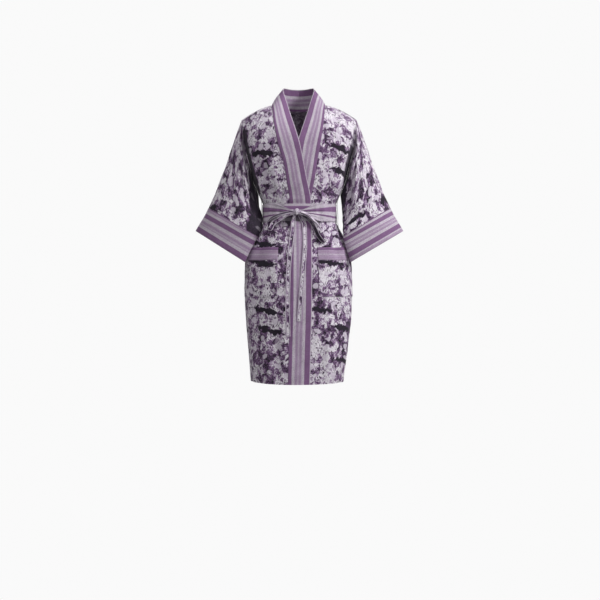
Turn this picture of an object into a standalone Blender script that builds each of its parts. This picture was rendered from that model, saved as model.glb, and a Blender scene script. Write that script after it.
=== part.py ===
"""A short wrapped kimono robe, hollow, in the form it takes when it is worn and tied.

The garment is worked out from one hollow body form and from two sleeve tubes. Every
piece is a wall of cloth on one of them. A piece that lies on another is made from the
same points, moved further out, so that the layers nest.

Metres, +Z up. The front faces -Y, and the wearer's right is at -X. The origin is the
middle of the shoulder line, where the wearer's shoulders hold the garment.
"""

import math

import bmesh
import bpy
import numpy as np

for thing in list(bpy.data.objects):
    bpy.data.objects.remove(thing, do_unlink=True)

# Cloth and the gaps between pieces
CLOTH = 0.0012
BAND_CLOTH = 0.0016
CUFF_CLOTH = 0.0020
RIBBON_CLOTH = 0.0014
SEAM_GAP = 0.0004
LAYER_GAP = 0.0006

# The body form, by height below the shoulder line
SQUARENESS = 2.3
HEM = -0.866
UNDERARM = -0.280
NECK_HALF = 0.0825
SHOULDER_FALL = 0.044
SHOULDER_LENGTH = 0.0955
ROUND_START = -0.135
FRONT_ROUNDING = 2.4
BACK_ROUNDING = 3.2
ARMHOLE_HALF_DEPTH = 0.055
HEM_SAG = 0.0065
BACK_NECK_DEPTH = 0.110
BACK_NECK_POWER = 2.2
SHOULDER_TOP = -1e-9

# The belt, the pockets and the bands
SASH_TOP = -0.312
SASH_BOTTOM = -0.368
POCKET_TOP = -0.449
POCKET_BAND_BOTTOM = -0.488
POCKET_BOTTOM = -0.600
BAND_END_KEY = 0.26
OVERLAP_LIFT = BAND_CLOTH + LAYER_GAP
CUFF_SEAM = 0.785
CUFF_SEAM_GAP = 0.0025

# The knot
KNOT_X = -0.0046
KNOT_Z = -0.338
KNOT_HALF = (0.0080, 0.0060, 0.0095)
KNOT_SEAT_GAP = 0.0003

# Rows of the grids
ROUND_THE_ARMHOLE = 12
SKIRT_LEVELS = [HEM, -0.810, -0.750, -0.680, POCKET_BOTTOM, -0.540, POCKET_BAND_BOTTOM, POCKET_TOP]
WAIST_LEVELS = [-0.410, -0.385, SASH_BOTTOM, -0.340, SASH_TOP, -0.297]

# Colours of the cloth
PRINT = (0.50, 0.38, 0.53)
PRINT_SHADE = (0.36, 0.26, 0.40)
STRIPE = (0.33, 0.20, 0.36)
PALE = (0.62, 0.54, 0.64)


def table(names, rows):
    """The named columns of a short table."""
    return dict(zip(names.split(), np.array(rows, float).T))


def along(places, values, at):
    """A smooth curve through pairs of place and value, which never swings past them.

    It is a cubic between neighbours. Its slope at each pair is the harmonic mean of the
    slopes on either side, or level where the values turn back.
    """
    at = np.clip(at, places[0], places[-1])
    runs = np.diff(values) / np.diff(places)
    before, after = runs[:-1], runs[1:]
    both = before * after
    middle = np.where(both > 0, 2 * both / np.where(both > 0, before + after, 1), 0)
    slopes = np.concatenate([runs[:1], middle, runs[-1:]])
    left = np.clip(np.searchsorted(places, at, side="right") - 1, 0, len(places) - 2)
    step = places[left + 1] - places[left]
    t = (at - places[left]) / step
    ends = values[left] * (1 + 2 * t) * (1 - t) ** 2 + values[left + 1] * t**2 * (3 - 2 * t)
    leans = slopes[left] * t * (1 - t) ** 2 - slopes[left + 1] * t**2 * (1 - t)
    return ends + step * leans


def ease(start, end, value):
    """0 before start, 1 after end, and a smooth rise between them."""
    t = np.clip((value - start) / (end - start), 0, 1)
    return t * t * (3 - 2 * t)


def normals(surface, a, b, step_a, step_b):
    """Unit normals of a surface of two parameters, from points a small step away."""
    run = surface(a + step_a, b) - surface(a - step_a, b)
    rise = surface(a, b + step_b) - surface(a, b - step_b)
    cross = np.cross(run, rise)
    return cross / np.linalg.norm(cross, axis=-1, keepdims=True)


# Half widths and depths of the body form, in level sections from the hem up.
# Above the underarm, side is where the armhole's edge is.
BODY = table(
    "level side front back centre",
    [
        (-0.866, 0.1450, 0.1170, 0.1280, -0.0030),
        (-0.781, 0.1540, 0.1180, 0.1300, -0.0005),
        (-0.680, 0.1645, 0.1190, 0.1310, 0.0012),
        (-0.600, 0.1682, 0.1180, 0.1300, 0.0004),
        (-0.500, 0.1655, 0.1120, 0.1250, -0.0010),
        (-0.455, 0.1570, 0.1060, 0.1160, -0.0005),
        (-0.410, 0.1390, 0.0980, 0.1050, 0.0010),
        (-0.365, 0.1135, 0.0890, 0.0900, 0.0030),
        (-0.312, 0.1130, 0.0890, 0.0890, 0.0030),
        (-0.280, 0.1270, 0.0950, 0.0930, 0.0030),
        (-0.233, 0.1440, 0.1020, 0.1000, 0.0030),
        (-0.170, 0.1570, 0.1060, 0.1080, 0.0030),
        (-0.120, 0.1670, 0.1060, 0.1120, 0.0030),
        (-0.060, 0.1750, 0.1060, 0.1130, 0.0025),
        (0.000, 0.1780, 0.1060, 0.1130, 0.0020),
    ],
)

# Main folds of the body, each a soft ridge or trough from one point to another.
# face is 1 on the front and -1 on the back; depth is negative for a trough.
BODY_FOLDS = table(
    "face x0 level0 x1 level1 width depth",
    [
        (1, -0.088, -0.372, -0.128, -0.500, 0.011, -0.0045),
        (1, -0.062, -0.372, -0.088, -0.462, 0.012, 0.0030),
        (1, 0.088, -0.372, 0.130, -0.500, 0.011, -0.0045),
        (1, 0.064, -0.372, 0.094, -0.462, 0.012, 0.0030),
        (1, -0.078, -0.306, -0.118, -0.180, 0.012, -0.0045),
        (1, -0.056, -0.306, -0.078, -0.205, 0.011, 0.0035),
        (1, 0.074, -0.306, 0.116, -0.170, 0.012, -0.0045),
        (1, 0.094, -0.306, 0.138, -0.235, 0.011, 0.0030),
        (1, -0.112, -0.640, -0.104, -0.880, 0.020, 0.0050),
        (1, -0.070, -0.660, -0.064, -0.880, 0.018, -0.0045),
        (1, 0.104, -0.630, 0.098, -0.880, 0.020, 0.0050),
        (1, 0.072, -0.660, 0.066, -0.880, 0.018, -0.0045),
        (-1, -0.072, -0.372, -0.110, -0.520, 0.014, -0.0050),
        (-1, -0.030, -0.372, -0.044, -0.500, 0.013, 0.0035),
        (-1, 0.034, -0.372, 0.046, -0.490, 0.013, 0.0035),
        (-1, 0.076, -0.372, 0.112, -0.520, 0.014, -0.0050),
        (-1, -0.078, -0.306, -0.112, -0.150, 0.014, -0.0055),
        (-1, -0.030, -0.306, -0.038, -0.190, 0.013, 0.0040),
        (-1, 0.026, -0.306, 0.034, -0.170, 0.013, 0.0040),
        (-1, 0.078, -0.306, 0.110, -0.150, 0.014, -0.0055),
        (-1, -0.096, -0.600, -0.100, -0.880, 0.022, 0.0060),
        (-1, -0.030, -0.640, -0.028, -0.880, 0.022, -0.0050),
        (-1, 0.040, -0.620, 0.040, -0.880, 0.022, 0.0055),
        (-1, 0.098, -0.640, 0.096, -0.880, 0.020, -0.0050),
    ],
)


def body_row(level):
    """Half width, front depth, back depth and centre of the section at a level."""
    return (along(BODY["level"], BODY[name], level) for name in ("side", "front", "back", "centre"))


def above_underarm(level):
    """0 at the underarm and below, 1 at the shoulder line."""
    return np.clip((level - UNDERARM) / -UNDERARM, 0, 1)


def rounded(level, power):
    """How much depth the shoulder's rounding leaves at a level."""
    rise = np.clip((level - ROUND_START) / -ROUND_START, 0, 1)
    return np.sqrt(1 - rise**power)


def section(turn, level):
    """Depth on this face, half width, armhole share of the depth, and centre."""
    side, front, back, centre = body_row(level)
    is_front = np.sin(turn) >= 0
    depth = np.where(is_front, front * rounded(level, FRONT_ROUNDING), back * rounded(level, BACK_ROUNDING))
    t = above_underarm(level)
    hole = 2 * ARMHOLE_HALF_DEPTH * np.sqrt(t * (1 - t)) / depth
    width = side / (1 - hole**SQUARENESS) ** (1 / SQUARENESS)
    return depth, width, hole, centre


def body_point(turn, level):
    """A point of the body form.

    Each section is a rounded oblong. turn is 0 at the right side seam, a quarter turn at
    the front centre and half a turn at the left side, and negative across the back.
    """
    turn, level = np.broadcast_arrays(np.asarray(turn, float), np.minimum(level, SHOULDER_TOP))
    depth, width, _, centre = section(turn, level)
    cosine, sine = np.cos(turn), np.sin(turn)
    across = -np.sign(cosine) * np.abs(cosine) ** (2 / SQUARENESS) * width
    y = -np.sign(sine) * np.abs(sine) ** (2 / SQUARENESS) * depth
    beyond_neck = np.maximum(np.abs(across) - NECK_HALF, 0) / SHOULDER_LENGTH
    fall = SHOULDER_FALL * beyond_neck**1.5 * above_underarm(level)
    sag = HEM_SAG * sine**2 * ease(-0.5, HEM, level)
    return np.stack([centre + across, y, level - fall - sag], axis=-1)


def body_normal(turn, level):
    return normals(body_point, turn, level, 1e-4, 1e-5)


def armhole_turn(level, face):
    """The turn at which a panel ends at the armhole, or at the side seam below it."""
    face = np.asarray(face, float)
    hole = section(face * 0.5, np.minimum(level, SHOULDER_TOP))[2]
    return face * np.arcsin(hole ** (SQUARENESS / 2))


def turn_at(x, level, face=1):
    """The turn at which the section at a level reaches x, on the front or the back."""
    _, width, _, centre = section(np.asarray(face * 0.5), np.minimum(level, SHOULDER_TOP))
    across = np.clip((x - centre) / width, -1, 1)
    return face * np.arccos(-np.sign(across) * np.abs(across) ** (SQUARENESS / 2))


def body_fold(turn, level):
    """How far the folds move the body's cloth out, or in where it is negative."""
    point = body_point(turn, level)
    x = point[..., 0]
    face = np.where(np.sin(turn) >= 0, 1, -1)
    total = np.zeros_like(x)
    for which, x0, level0, x1, level1, width, depth in zip(*BODY_FOLDS.values()):
        run = np.array([x1 - x0, level1 - level0])
        length = np.hypot(*run)
        part = ((x - x0) * run[0] + (level - level0) * run[1]) / length**2
        off = ((x - x0) * run[1] - (level - level0) * run[0]) / length
        taper = ease(0, 0.3, part) * ease(1.25, 0.7, part)
        total += np.where(face == which, depth * taper * np.exp(-((off / width) ** 2)), 0)
    from_edge = np.minimum(np.abs(np.sin(turn)), 1)
    start = np.abs(np.sin(armhole_turn(level, 1)))
    return total * ease(0.02, 0.30, from_edge - start) * ease(-0.01, -0.06, level)


def on_body(turn, level, lift):
    """A point of the body's cloth, a lift out from the hollow's surface."""
    out = body_normal(turn, level) * np.expand_dims(body_fold(turn, level) + lift, -1)
    return body_point(turn, level) + out


# The neck bands, by a key that is minus the square root of the seam's depth below the
# shoulder line, and is positive along the back of the neck. The free edge is in x, y, z.
# wrapped is 1 where the band lies on the body form and 0 where it stands up as a collar.
BAND_ROWS = "key seam_x free_x free_y free_z wrapped lift"
RIGHT_BAND = table(
    BAND_ROWS,
    [
        (-0.9306, -0.0326, 0.0354, -0.117, -0.8660, 1.0, OVERLAP_LIFT),
        (-0.8718, -0.0300, 0.0380, -0.118, -0.7600, 1.0, OVERLAP_LIFT),
        (-0.7746, -0.0262, 0.0415, -0.118, -0.6000, 1.0, OVERLAP_LIFT),
        (-0.6928, -0.0260, 0.0415, -0.112, -0.4800, 1.0, OVERLAP_LIFT),
        (-0.6066, -0.0260, 0.0400, -0.090, -0.3680, 1.0, OVERLAP_LIFT),
        (-0.5586, -0.0268, 0.0393, -0.089, -0.3110, 1.0, OVERLAP_LIFT),
        (-0.4906, -0.0370, 0.0245, -0.101, -0.2290, 1.0, OVERLAP_LIFT),
        (-0.4230, -0.0478, 0.0125, -0.105, -0.1660, 1.0, OVERLAP_LIFT),
        (-0.3805, -0.0590, 0.0037, -0.103, -0.1240, 1.0, OVERLAP_LIFT),
        (-0.3435, -0.0650, -0.0062, -0.096, -0.0905, 0.6, OVERLAP_LIFT),
        (-0.3033, -0.0708, -0.0170, -0.084, -0.0574, 0.2, 0.0020),
        (-0.2460, -0.0762, -0.0275, -0.064, -0.0240, 0.0, 0.0018),
        (-0.1746, -0.0797, -0.0359, -0.044, 0.0055, 0.0, 0.0018),
        (-0.0975, -0.0818, -0.0440, -0.023, 0.0330, 0.0, 0.0018),
        (0.0000, -0.0825, -0.0475, 0.000, 0.0500, 0.0, 0.0018),
        (0.0650, -0.0767, -0.0455, 0.021, 0.0580, 0.0, 0.0018),
        (0.1300, -0.0602, -0.0360, 0.042, 0.0595, 0.0, 0.0018),
        (0.1950, -0.0344, -0.0200, 0.055, 0.0585, 0.0, 0.0018),
        (0.2600, -0.0003, -0.0003, 0.060, 0.0580, 0.0, 0.0018),
    ],
)
LEFT_BAND = table(
    BAND_ROWS,
    [
        (-0.9306, 0.0310, -0.0370, -0.117, -0.8660, 1.0, 0.0),
        (-0.8718, 0.0330, -0.0345, -0.118, -0.7600, 1.0, 0.0),
        (-0.7746, 0.0352, -0.0325, -0.118, -0.6000, 1.0, 0.0),
        (-0.6928, 0.0352, -0.0325, -0.112, -0.4800, 1.0, 0.0),
        (-0.6066, 0.0360, -0.0320, -0.090, -0.3680, 1.0, 0.0),
        (-0.5586, 0.0371, -0.0320, -0.089, -0.3110, 1.0, 0.0),
        (-0.4906, 0.0494, -0.0180, -0.101, -0.2290, 1.0, 0.0),
        (-0.4230, 0.0590, -0.0080, -0.105, -0.1640, 1.0, 0.0),
        (-0.3805, 0.0655, -0.0025, -0.103, -0.1240, 1.0, 0.0),
        (-0.3435, 0.0693, 0.0073, -0.096, -0.0905, 0.6, 0.0004),
        (-0.3033, 0.0738, 0.0180, -0.084, -0.0574, 0.2, 0.0012),
        (-0.2460, 0.0779, 0.0285, -0.064, -0.0240, 0.0, 0.0018),
        (-0.1746, 0.0803, 0.0367, -0.044, 0.0055, 0.0, 0.0018),
        (-0.0975, 0.0820, 0.0445, -0.023, 0.0330, 0.0, 0.0018),
        (0.0000, 0.0825, 0.0478, 0.000, 0.0500, 0.0, 0.0018),
        (0.0650, 0.0767, 0.0455, 0.021, 0.0580, 0.0, 0.0018),
        (0.1300, 0.0602, 0.0360, 0.042, 0.0595, 0.0, 0.0018),
        (0.1950, 0.0344, 0.0200, 0.055, 0.0585, 0.0, 0.0018),
        (0.2600, 0.0003, 0.0003, 0.060, 0.0580, 0.0, 0.0018),
    ],
)
BANDS = {-1: RIGHT_BAND, 1: LEFT_BAND}
COLLAR_BULGE = 0.004


def band_column(side, name, key):
    return along(BANDS[side]["key"], BANDS[side][name], key)


def seam_x(side, level):
    """Where the front panel on this side meets its band, by level."""
    return band_column(side, "seam_x", -np.sqrt(np.maximum(-level, 0)))


def back_neck(key):
    """How far across and how far down the back neck seam is, by the band's key."""
    round_the_back = np.clip(key / BAND_END_KEY, 0, 1) * math.pi / 2
    across = NECK_HALF * np.cos(round_the_back) ** (2 / BACK_NECK_POWER)
    drop = (BACK_NECK_DEPTH * np.sin(round_the_back) ** (2 / BACK_NECK_POWER)) ** 2
    return np.maximum(across, 0.0003), drop


def front_lift(side, x, level):
    """The right front rises to lie over the left one's band; the left front lies flat."""
    if side == 1:
        return np.zeros(np.broadcast(x, level).shape)
    return OVERLAP_LIFT * ease(0.100, 0.042, np.abs(x)) * ease(-0.02, -0.12, level)


def band_point(side, key, share):
    """A point of a neck band's inner face; share is 0 at the seam and 1 at the free edge."""
    key, share = np.broadcast_arrays(np.asarray(key, float), np.asarray(share, float))
    lift = band_column(side, "lift", key)
    level = np.minimum(-(key**2), SHOULDER_TOP)
    x = band_column(side, "seam_x", key) - side * SEAM_GAP
    across, drop = back_neck(key)
    is_front = key < 0
    turn = np.where(is_front, turn_at(x, level), turn_at(side * across, np.minimum(-drop, SHOULDER_TOP), -1))
    level = np.where(is_front, level, np.minimum(-drop, SHOULDER_TOP))
    seam = body_point(turn, level) + body_normal(turn, level) * lift[..., None]
    free = np.stack([band_column(side, name, key) for name in ("free_x", "free_y", "free_z")], axis=-1)
    chord = seam * (1 - share[..., None]) + free * share[..., None]
    away = chord * np.array([1.0, 1.0, 0.0])
    away = away / np.linalg.norm(away, axis=-1, keepdims=True)
    collar = chord + away * (COLLAR_BULGE * 4 * share * (1 - share))[..., None]
    flat_x = x + (free[..., 0] - x) * share
    flat_level = np.minimum(level + (free[..., 2] - level) * share, -0.03)
    wrapped = on_body(turn_at(flat_x, flat_level), flat_level, lift)
    weight = np.clip(band_column(side, "wrapped", key), 0, 1)[..., None]
    return wrapped * weight + collar * (1 - weight)


# The sleeve, by its share of the way from the armhole to the cuff's edge: where its top
# fold and its low fold run, half its depth from front to back between them, how far the
# low folds lie towards the wearer's left, and how far in front of the top fold they hang.
SLEEVE = table(
    "share top_x top_z low_x low_z depth low_shift forward",
    [
        (0.000, 0.1790, -0.0440, 0.1290, -0.2800, 0.055, 0.003, 0.000),
        (0.140, 0.1985, -0.0945, 0.1305, -0.3150, 0.055, 0.006, 0.008),
        (0.360, 0.2265, -0.1760, 0.1315, -0.3560, 0.053, 0.009, 0.030),
        (0.595, 0.2595, -0.2630, 0.1320, -0.3880, 0.051, 0.009, 0.052),
        (0.785, 0.2850, -0.3225, 0.1377, -0.4125, 0.049, 0.004, 0.061),
        (1.000, 0.3250, -0.3950, 0.1651, -0.4930, 0.047, -0.002, 0.062),
    ],
)
TOP_SHIFT = 0.003
# Main folds of a sleeve: share along it and turn round it, 0 at the top fold, then front.
SLEEVE_FOLDS = table(
    "share0 turn0 share1 turn1 width depth",
    [
        (0.06, 1.20, 0.34, 1.75, 0.012, 0.0050),
        (0.10, 1.90, 0.46, 2.20, 0.014, -0.0060),
        (0.34, 0.90, 0.74, 1.50, 0.016, -0.0040),
        (0.46, 1.90, 0.76, 1.30, 0.014, 0.0035),
        (0.06, 4.90, 0.40, 4.30, 0.014, 0.0050),
        (0.12, 4.30, 0.52, 4.00, 0.014, -0.0055),
        (0.40, 5.30, 0.76, 4.70, 0.016, -0.0045),
    ],
)
SLEEVE_LENGTH = 0.39
SLEEVE_HALF_GIRTH = 0.10
ARMHOLE_CLEARANCE = CLOTH + SEAM_GAP


def armhole_ring(side, turn):
    """The sleeve's first ring: the armhole's edge, moved out to clear the body's cloth."""
    level = UNDERARM * (1 - np.cos(turn)) / 2
    face = np.where(np.sin(turn) >= 0, 1.0, -1.0)
    edge = armhole_turn(level, face)
    point = body_point(edge if side < 0 else face * math.pi - edge, level)
    low = ((1 - np.cos(turn)) / 2) ** 4
    shift = side * (ARMHOLE_CLEARANCE + (CLOTH + 0.0002) * low)
    return point + np.stack([shift, np.zeros_like(shift), np.zeros_like(shift)], axis=-1)


def drop_section(side, turn, share):
    """A drop-shaped section between the top fold and the low fold."""
    columns = [along(SLEEVE["share"], SLEEVE[name], share) for name in list(SLEEVE)[1:]]
    top_x, top_z, low_x, low_z, depth, low_shift, forward = columns
    down = (1 - np.cos(turn)) / 2
    x = side * (top_x + (low_x - top_x) * down) + TOP_SHIFT * (1 - down) + low_shift * down
    y = -depth * np.sin(turn) * (0.8 + 0.2 * np.cos(turn)) - forward * down
    return np.stack([x, y, top_z + (low_z - top_z) * down], axis=-1)


def sleeve_point(side, turn, share):
    """A point of the sleeve: the armhole ring eases into the drop-shaped sections."""
    turn, share = np.broadcast_arrays(np.asarray(turn, float), np.asarray(share, float))
    fade = np.clip(1 - share / 0.45, 0, 1) ** 2
    start = armhole_ring(side, turn) - drop_section(side, turn, np.zeros_like(share))
    return drop_section(side, turn, share) + start * fade[..., None]


def sleeve_fold(turn, share):
    """How far the folds move the sleeve's cloth out."""
    total = np.zeros_like(turn)
    for share0, turn0, share1, turn1, width, depth in zip(*SLEEVE_FOLDS.values()):
        run = np.array([(share1 - share0) * SLEEVE_LENGTH, (turn1 - turn0) * SLEEVE_HALF_GIRTH])
        length = np.hypot(*run)
        a = (share - share0) * SLEEVE_LENGTH
        b = (turn - turn0) * SLEEVE_HALF_GIRTH
        part = (a * run[0] + b * run[1]) / length**2
        off = (a * run[1] - b * run[0]) / length
        total += depth * ease(-0.2, 0.3, part) * ease(1.2, 0.7, part) * np.exp(-((off / width) ** 2))
    return total * ease(0, 0.10, share)


def on_sleeve(side, turn, share, lift):
    """A point of the sleeve's cloth, a lift out from the tube's surface."""
    out = side * normals(lambda a, b: sleeve_point(side, a, b), turn, share, 1e-4, 1e-4)
    return sleeve_point(side, turn, share) + out * (sleeve_fold(turn, share) + lift)[..., None]


def cloth_solid(name, inner, outer, colour, tube=False):
    """Makes one closed wall from two like grids of points, as an object.

    The grids are rows by columns. A tube's last column joins its first.
    """
    rows, columns = inner.shape[:2]
    count = rows * columns
    index = np.arange(count).reshape(rows, columns)
    if tube:
        index = np.concatenate([index, index[:, :1]], axis=1)
    faces = []
    for layer in (0, count):
        a = index + layer
        faces.append(np.stack([a[:-1, :-1], a[:-1, 1:], a[1:, 1:], a[1:, :-1]], axis=-1).reshape(-1, 4))
    edges = [index[0], index[-1]] if tube else [index[0], index[-1], index[:, 0], index[:, -1]]
    for edge in edges:
        faces.append(np.stack([edge[:-1], edge[1:], edge[1:] + count, edge[:-1] + count], axis=-1))
    points = np.concatenate([inner.reshape(-1, 3), outer.reshape(-1, 3)])
    return add_object(name, points, np.concatenate(faces), colour)


def add_object(name, points, faces, colour):
    """Adds a mesh object, its faces turned outwards, with a material of its own."""
    mesh = bpy.data.meshes.new(name)
    mesh.from_pydata(points.tolist(), [], faces.tolist())
    shape = bmesh.new()
    shape.from_mesh(mesh)
    bmesh.ops.recalc_face_normals(shape, faces=shape.faces)
    shape.to_mesh(mesh)
    shape.free()
    mesh.shade_smooth()
    mesh.set_sharp_from_angle(angle=math.radians(50))
    material = bpy.data.materials.new(name)
    material.use_nodes = True
    surface = material.node_tree.nodes["Principled BSDF"]
    surface.inputs["Base Color"].default_value = (*colour, 1)
    surface.inputs["Roughness"].default_value = 0.85
    surface.inputs["Metallic"].default_value = 0
    mesh.materials.append(material)
    made = bpy.data.objects.new(name, mesh)
    bpy.context.scene.collection.objects.link(made)
    return made


ARMHOLE_LEVELS = [
    UNDERARM * (1 + math.cos(math.pi * step / ROUND_THE_ARMHOLE)) / 2 for step in range(ROUND_THE_ARMHOLE + 1)
]
LEVELS = np.array(SKIRT_LEVELS + WAIST_LEVELS + ARMHOLE_LEVELS)
POCKET_OUTER = 0.07
POCKET_INNER = {-1: 0.846, 1: 0.894}
POCKET_COLUMNS = 10


def front_columns(side):
    """Shares of the way from the side seam to the band, with the pocket's edges among them."""
    inner = POCKET_INNER[side]
    over_pocket = np.linspace(POCKET_OUTER, inner, POCKET_COLUMNS + 1)
    return np.concatenate([[0], over_pocket, np.linspace(inner, 1, 4)[1:]])


def front_turns(side, level, shares):
    """The turn at each share of the way round a front panel."""
    start = armhole_turn(level, 1)
    if side == 1:
        start = math.pi - start
    return start + (turn_at(seam_x(side, level), level) - start) * shares


def front_wall(side, level, shares, low, high):
    """Inner and outer grids on a front panel, from low to high above its inner face."""
    turn = front_turns(side, level, shares)
    x = body_point(turn, level)[..., 0]
    lift = front_lift(side, x, level)
    forward = np.array([0, -SEAM_GAP / 2, 0])
    return on_body(turn, level, lift + low) + forward, on_body(turn, level, lift + high) + forward


def make_front(name, side, colour):
    inner, outer = front_wall(side, LEVELS[:, None], front_columns(side)[None, :], 0, CLOTH)
    cloth_solid(name, inner, outer, colour)


def make_back(name, colour):
    """The back: eight columns at each side, and eight between the shoulders' neck ends."""
    level = np.broadcast_to(LEVELS[:, None], (len(LEVELS), 25))
    right = armhole_turn(LEVELS, -1)
    left = -math.pi - right
    neck_right = turn_at(-NECK_HALF, LEVELS, -1)
    neck_left = turn_at(NECK_HALF, LEVELS, -1)
    parts = [(right, neck_right), (neck_right, neck_left), (neck_left, left)]
    step = np.arange(8) / 8
    turns = [start[:, None] + (end - start)[:, None] * step for start, end in parts]
    turn = np.concatenate([*turns, left[:, None]], axis=1)
    x = np.abs(body_point(turn, level)[..., 0])
    round_the_back = np.arccos(np.clip(x / NECK_HALF, 0, 1) ** (BACK_NECK_POWER / 2))
    drop = (BACK_NECK_DEPTH * np.sin(round_the_back) ** (2 / BACK_NECK_POWER)) ** 2
    curve_start = -0.11
    lowered = curve_start + (level - curve_start) * (-drop - curve_start) / -curve_start
    level = np.where(level > curve_start, lowered, level)
    back = np.array([0, SEAM_GAP / 2, 0])
    cloth_solid(name, on_body(turn, level, 0) + back, on_body(turn, level, CLOTH) + back, colour)


def make_band(name, side, colour):
    """A neck and front band: the front panel's rows, then eight steps to the centre back."""
    keys = np.concatenate([-np.sqrt(-LEVELS[:-1]), np.linspace(0, BAND_END_KEY, 9)])[:, None]
    shares = np.linspace(0, 1, 5)[None, :]

    def surface(share, key):
        return band_point(side, key, np.clip(share, 0, 1))

    keys, shares = np.broadcast_arrays(keys, shares)
    inner = surface(shares, keys)
    # Steps inside the ends keep the wall's direction true at the seam and at centre back.
    inside = np.clip(shares, 0.01, 0.99)
    before_end = np.clip(keys, -0.929, BAND_END_KEY - 0.004)
    out = -side * normals(surface, inside, before_end, 0.005, 0.0015)
    cloth_solid(name, inner, inner + out * BAND_CLOTH, colour)


def make_sleeve(name, side, shares, low, high, colour):
    turns = np.linspace(0, 2 * math.pi, 2 * ROUND_THE_ARMHOLE, endpoint=False)
    turn, share = np.broadcast_arrays(turns[None, :], np.array(shares)[:, None])
    inner = on_sleeve(side, turn, share, low)
    outer = on_sleeve(side, turn, share, high)
    cloth_solid(name, inner, outer, colour, tube=True)


def make_pocket(name, side, bottom, top, lift, thickness, colour):
    """A patch on a front panel, made from the panel's own points, moved out."""
    level = LEVELS[(LEVELS > bottom + 0.001) & (LEVELS < top - 0.001)]
    level = np.concatenate([[bottom], level, [top]])[:, None]
    shares = np.linspace(POCKET_OUTER, POCKET_INNER[side], POCKET_COLUMNS + 1)[None, :]
    inner, outer = front_wall(side, level, shares, lift, lift + thickness)
    cloth_solid(name, inner, outer, colour)


# The sash: how far from the body's hollow its layers lie at the front
UNDERLAP_LIFT = OVERLAP_LIFT + BAND_CLOTH + LAYER_GAP
SASH_FRONT_LIFT = UNDERLAP_LIFT + CLOTH + LAYER_GAP
SASH_LIFT = CLOTH + 0.0009
UNDERLAP_HALF = 0.080
GATHER_REACH = 0.060
GATHERS = 4
GATHER_HEIGHT = 0.0010
GATHERED_HALF_WIDTH = 0.0065
BESIDE_KNOT = KNOT_HALF[0] + SEAM_GAP + 0.0010


def underlap_lift(x):
    return SASH_LIFT + (UNDERLAP_LIFT - SASH_LIFT) * ease(0.100, 0.045, np.abs(x))


def sash_lift(turn, x):
    front = SASH_LIFT + (SASH_FRONT_LIFT - SASH_LIFT) * ease(0.108, 0.080, np.abs(x))
    return np.where(np.sin(turn) > 0, front, SASH_LIFT)


def make_underlap(name, colour):
    """The stretch of sash that lies behind the knot."""
    x = np.linspace(-UNDERLAP_HALF, UNDERLAP_HALF, 11)[None, :]
    level = np.array([SASH_BOTTOM + 0.001, -0.340, SASH_TOP - 0.001])[:, None]
    turn = turn_at(x, level)
    lift = underlap_lift(x) + 0 * level
    inner = on_body(turn, level, lift)
    cloth_solid(name, inner, on_body(turn, level, lift + CLOTH), colour)


def make_sash(name, colour):
    """The sash, once round from one side of the knot to the other.

    Its ends narrow into the knot, and their gathers are waves that grow towards it.
    """
    middle = (SASH_TOP + SASH_BOTTOM) / 2
    near = BESIDE_KNOT + GATHER_REACH * np.array([0, 0.1, 0.22, 0.36, 0.52, 0.72, 1.0])
    right = turn_at(KNOT_X - near, middle)
    left = turn_at(KNOT_X + near, middle)
    round_the_back = np.linspace(right[-1], left[-1] - 2 * math.pi, 40)
    turns = np.concatenate([right[:-1], round_the_back, left[::-1][1:] - 2 * math.pi])
    turn = np.where(turns < -math.pi, turns + 2 * math.pi, turns)
    share = np.linspace(-1, 1, 9)[:, None]
    x = body_point(turn, middle)[..., 0]
    from_knot = np.abs(x - KNOT_X) - BESIDE_KNOT
    gathered = np.where(np.sin(turn) > 0, ease(GATHER_REACH, 0, from_knot), 0)[None, :]
    half = (SASH_TOP - SASH_BOTTOM) / 2 * (1 - gathered) + GATHERED_HALF_WIDTH * gathered
    centre = middle * (1 - gathered) + KNOT_Z * gathered
    level = centre + half * share
    turn, level = np.broadcast_arrays(turn[None, :], level)
    waves = GATHER_HEIGHT * gathered * ease(0, 0.004, from_knot) * np.cos(share * math.pi * GATHERS)
    lift = sash_lift(turn, x[None, :]) + waves * 0.5 + GATHER_HEIGHT * 0.5 * gathered
    cloth_solid(name, on_body(turn, level, lift), on_body(turn, level, lift + BAND_CLOTH), colour)


# A belt carrier: how far it stands out from the body's hollow on its way down.
CARRIER = table(
    "share lift",
    [(0, 0.0018), (0.10, 0.0046), (0.35, 0.0060), (0.65, 0.0074), (0.88, 0.0052), (1, 0.0018)],
)
CARRIER_TOP = SASH_TOP + 0.012
CARRIER_BOTTOM = SASH_BOTTOM - 0.014
CARRIER_HALF_WIDTH = 0.004


def make_belt_loop(name, side, colour):
    """A carrier at the side seam: a narrow strip that bows out over the sash."""
    share = np.linspace(0, 1, 11)
    level = CARRIER_TOP + (CARRIER_BOTTOM - CARRIER_TOP) * share
    lift = along(CARRIER["share"], CARRIER["lift"], share)
    seam = np.full(len(share), 0.0 if side < 0 else math.pi)
    half = np.array([0, CARRIER_HALF_WIDTH, 0])
    grids = []
    for extra in (0, CLOTH):
        line = body_point(seam, level) + body_normal(seam, level) * (lift + extra)[:, None]
        grids.append(np.stack([line - half, line + half], axis=1))
    cloth_solid(name, grids[0], grids[1], colour)


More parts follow.
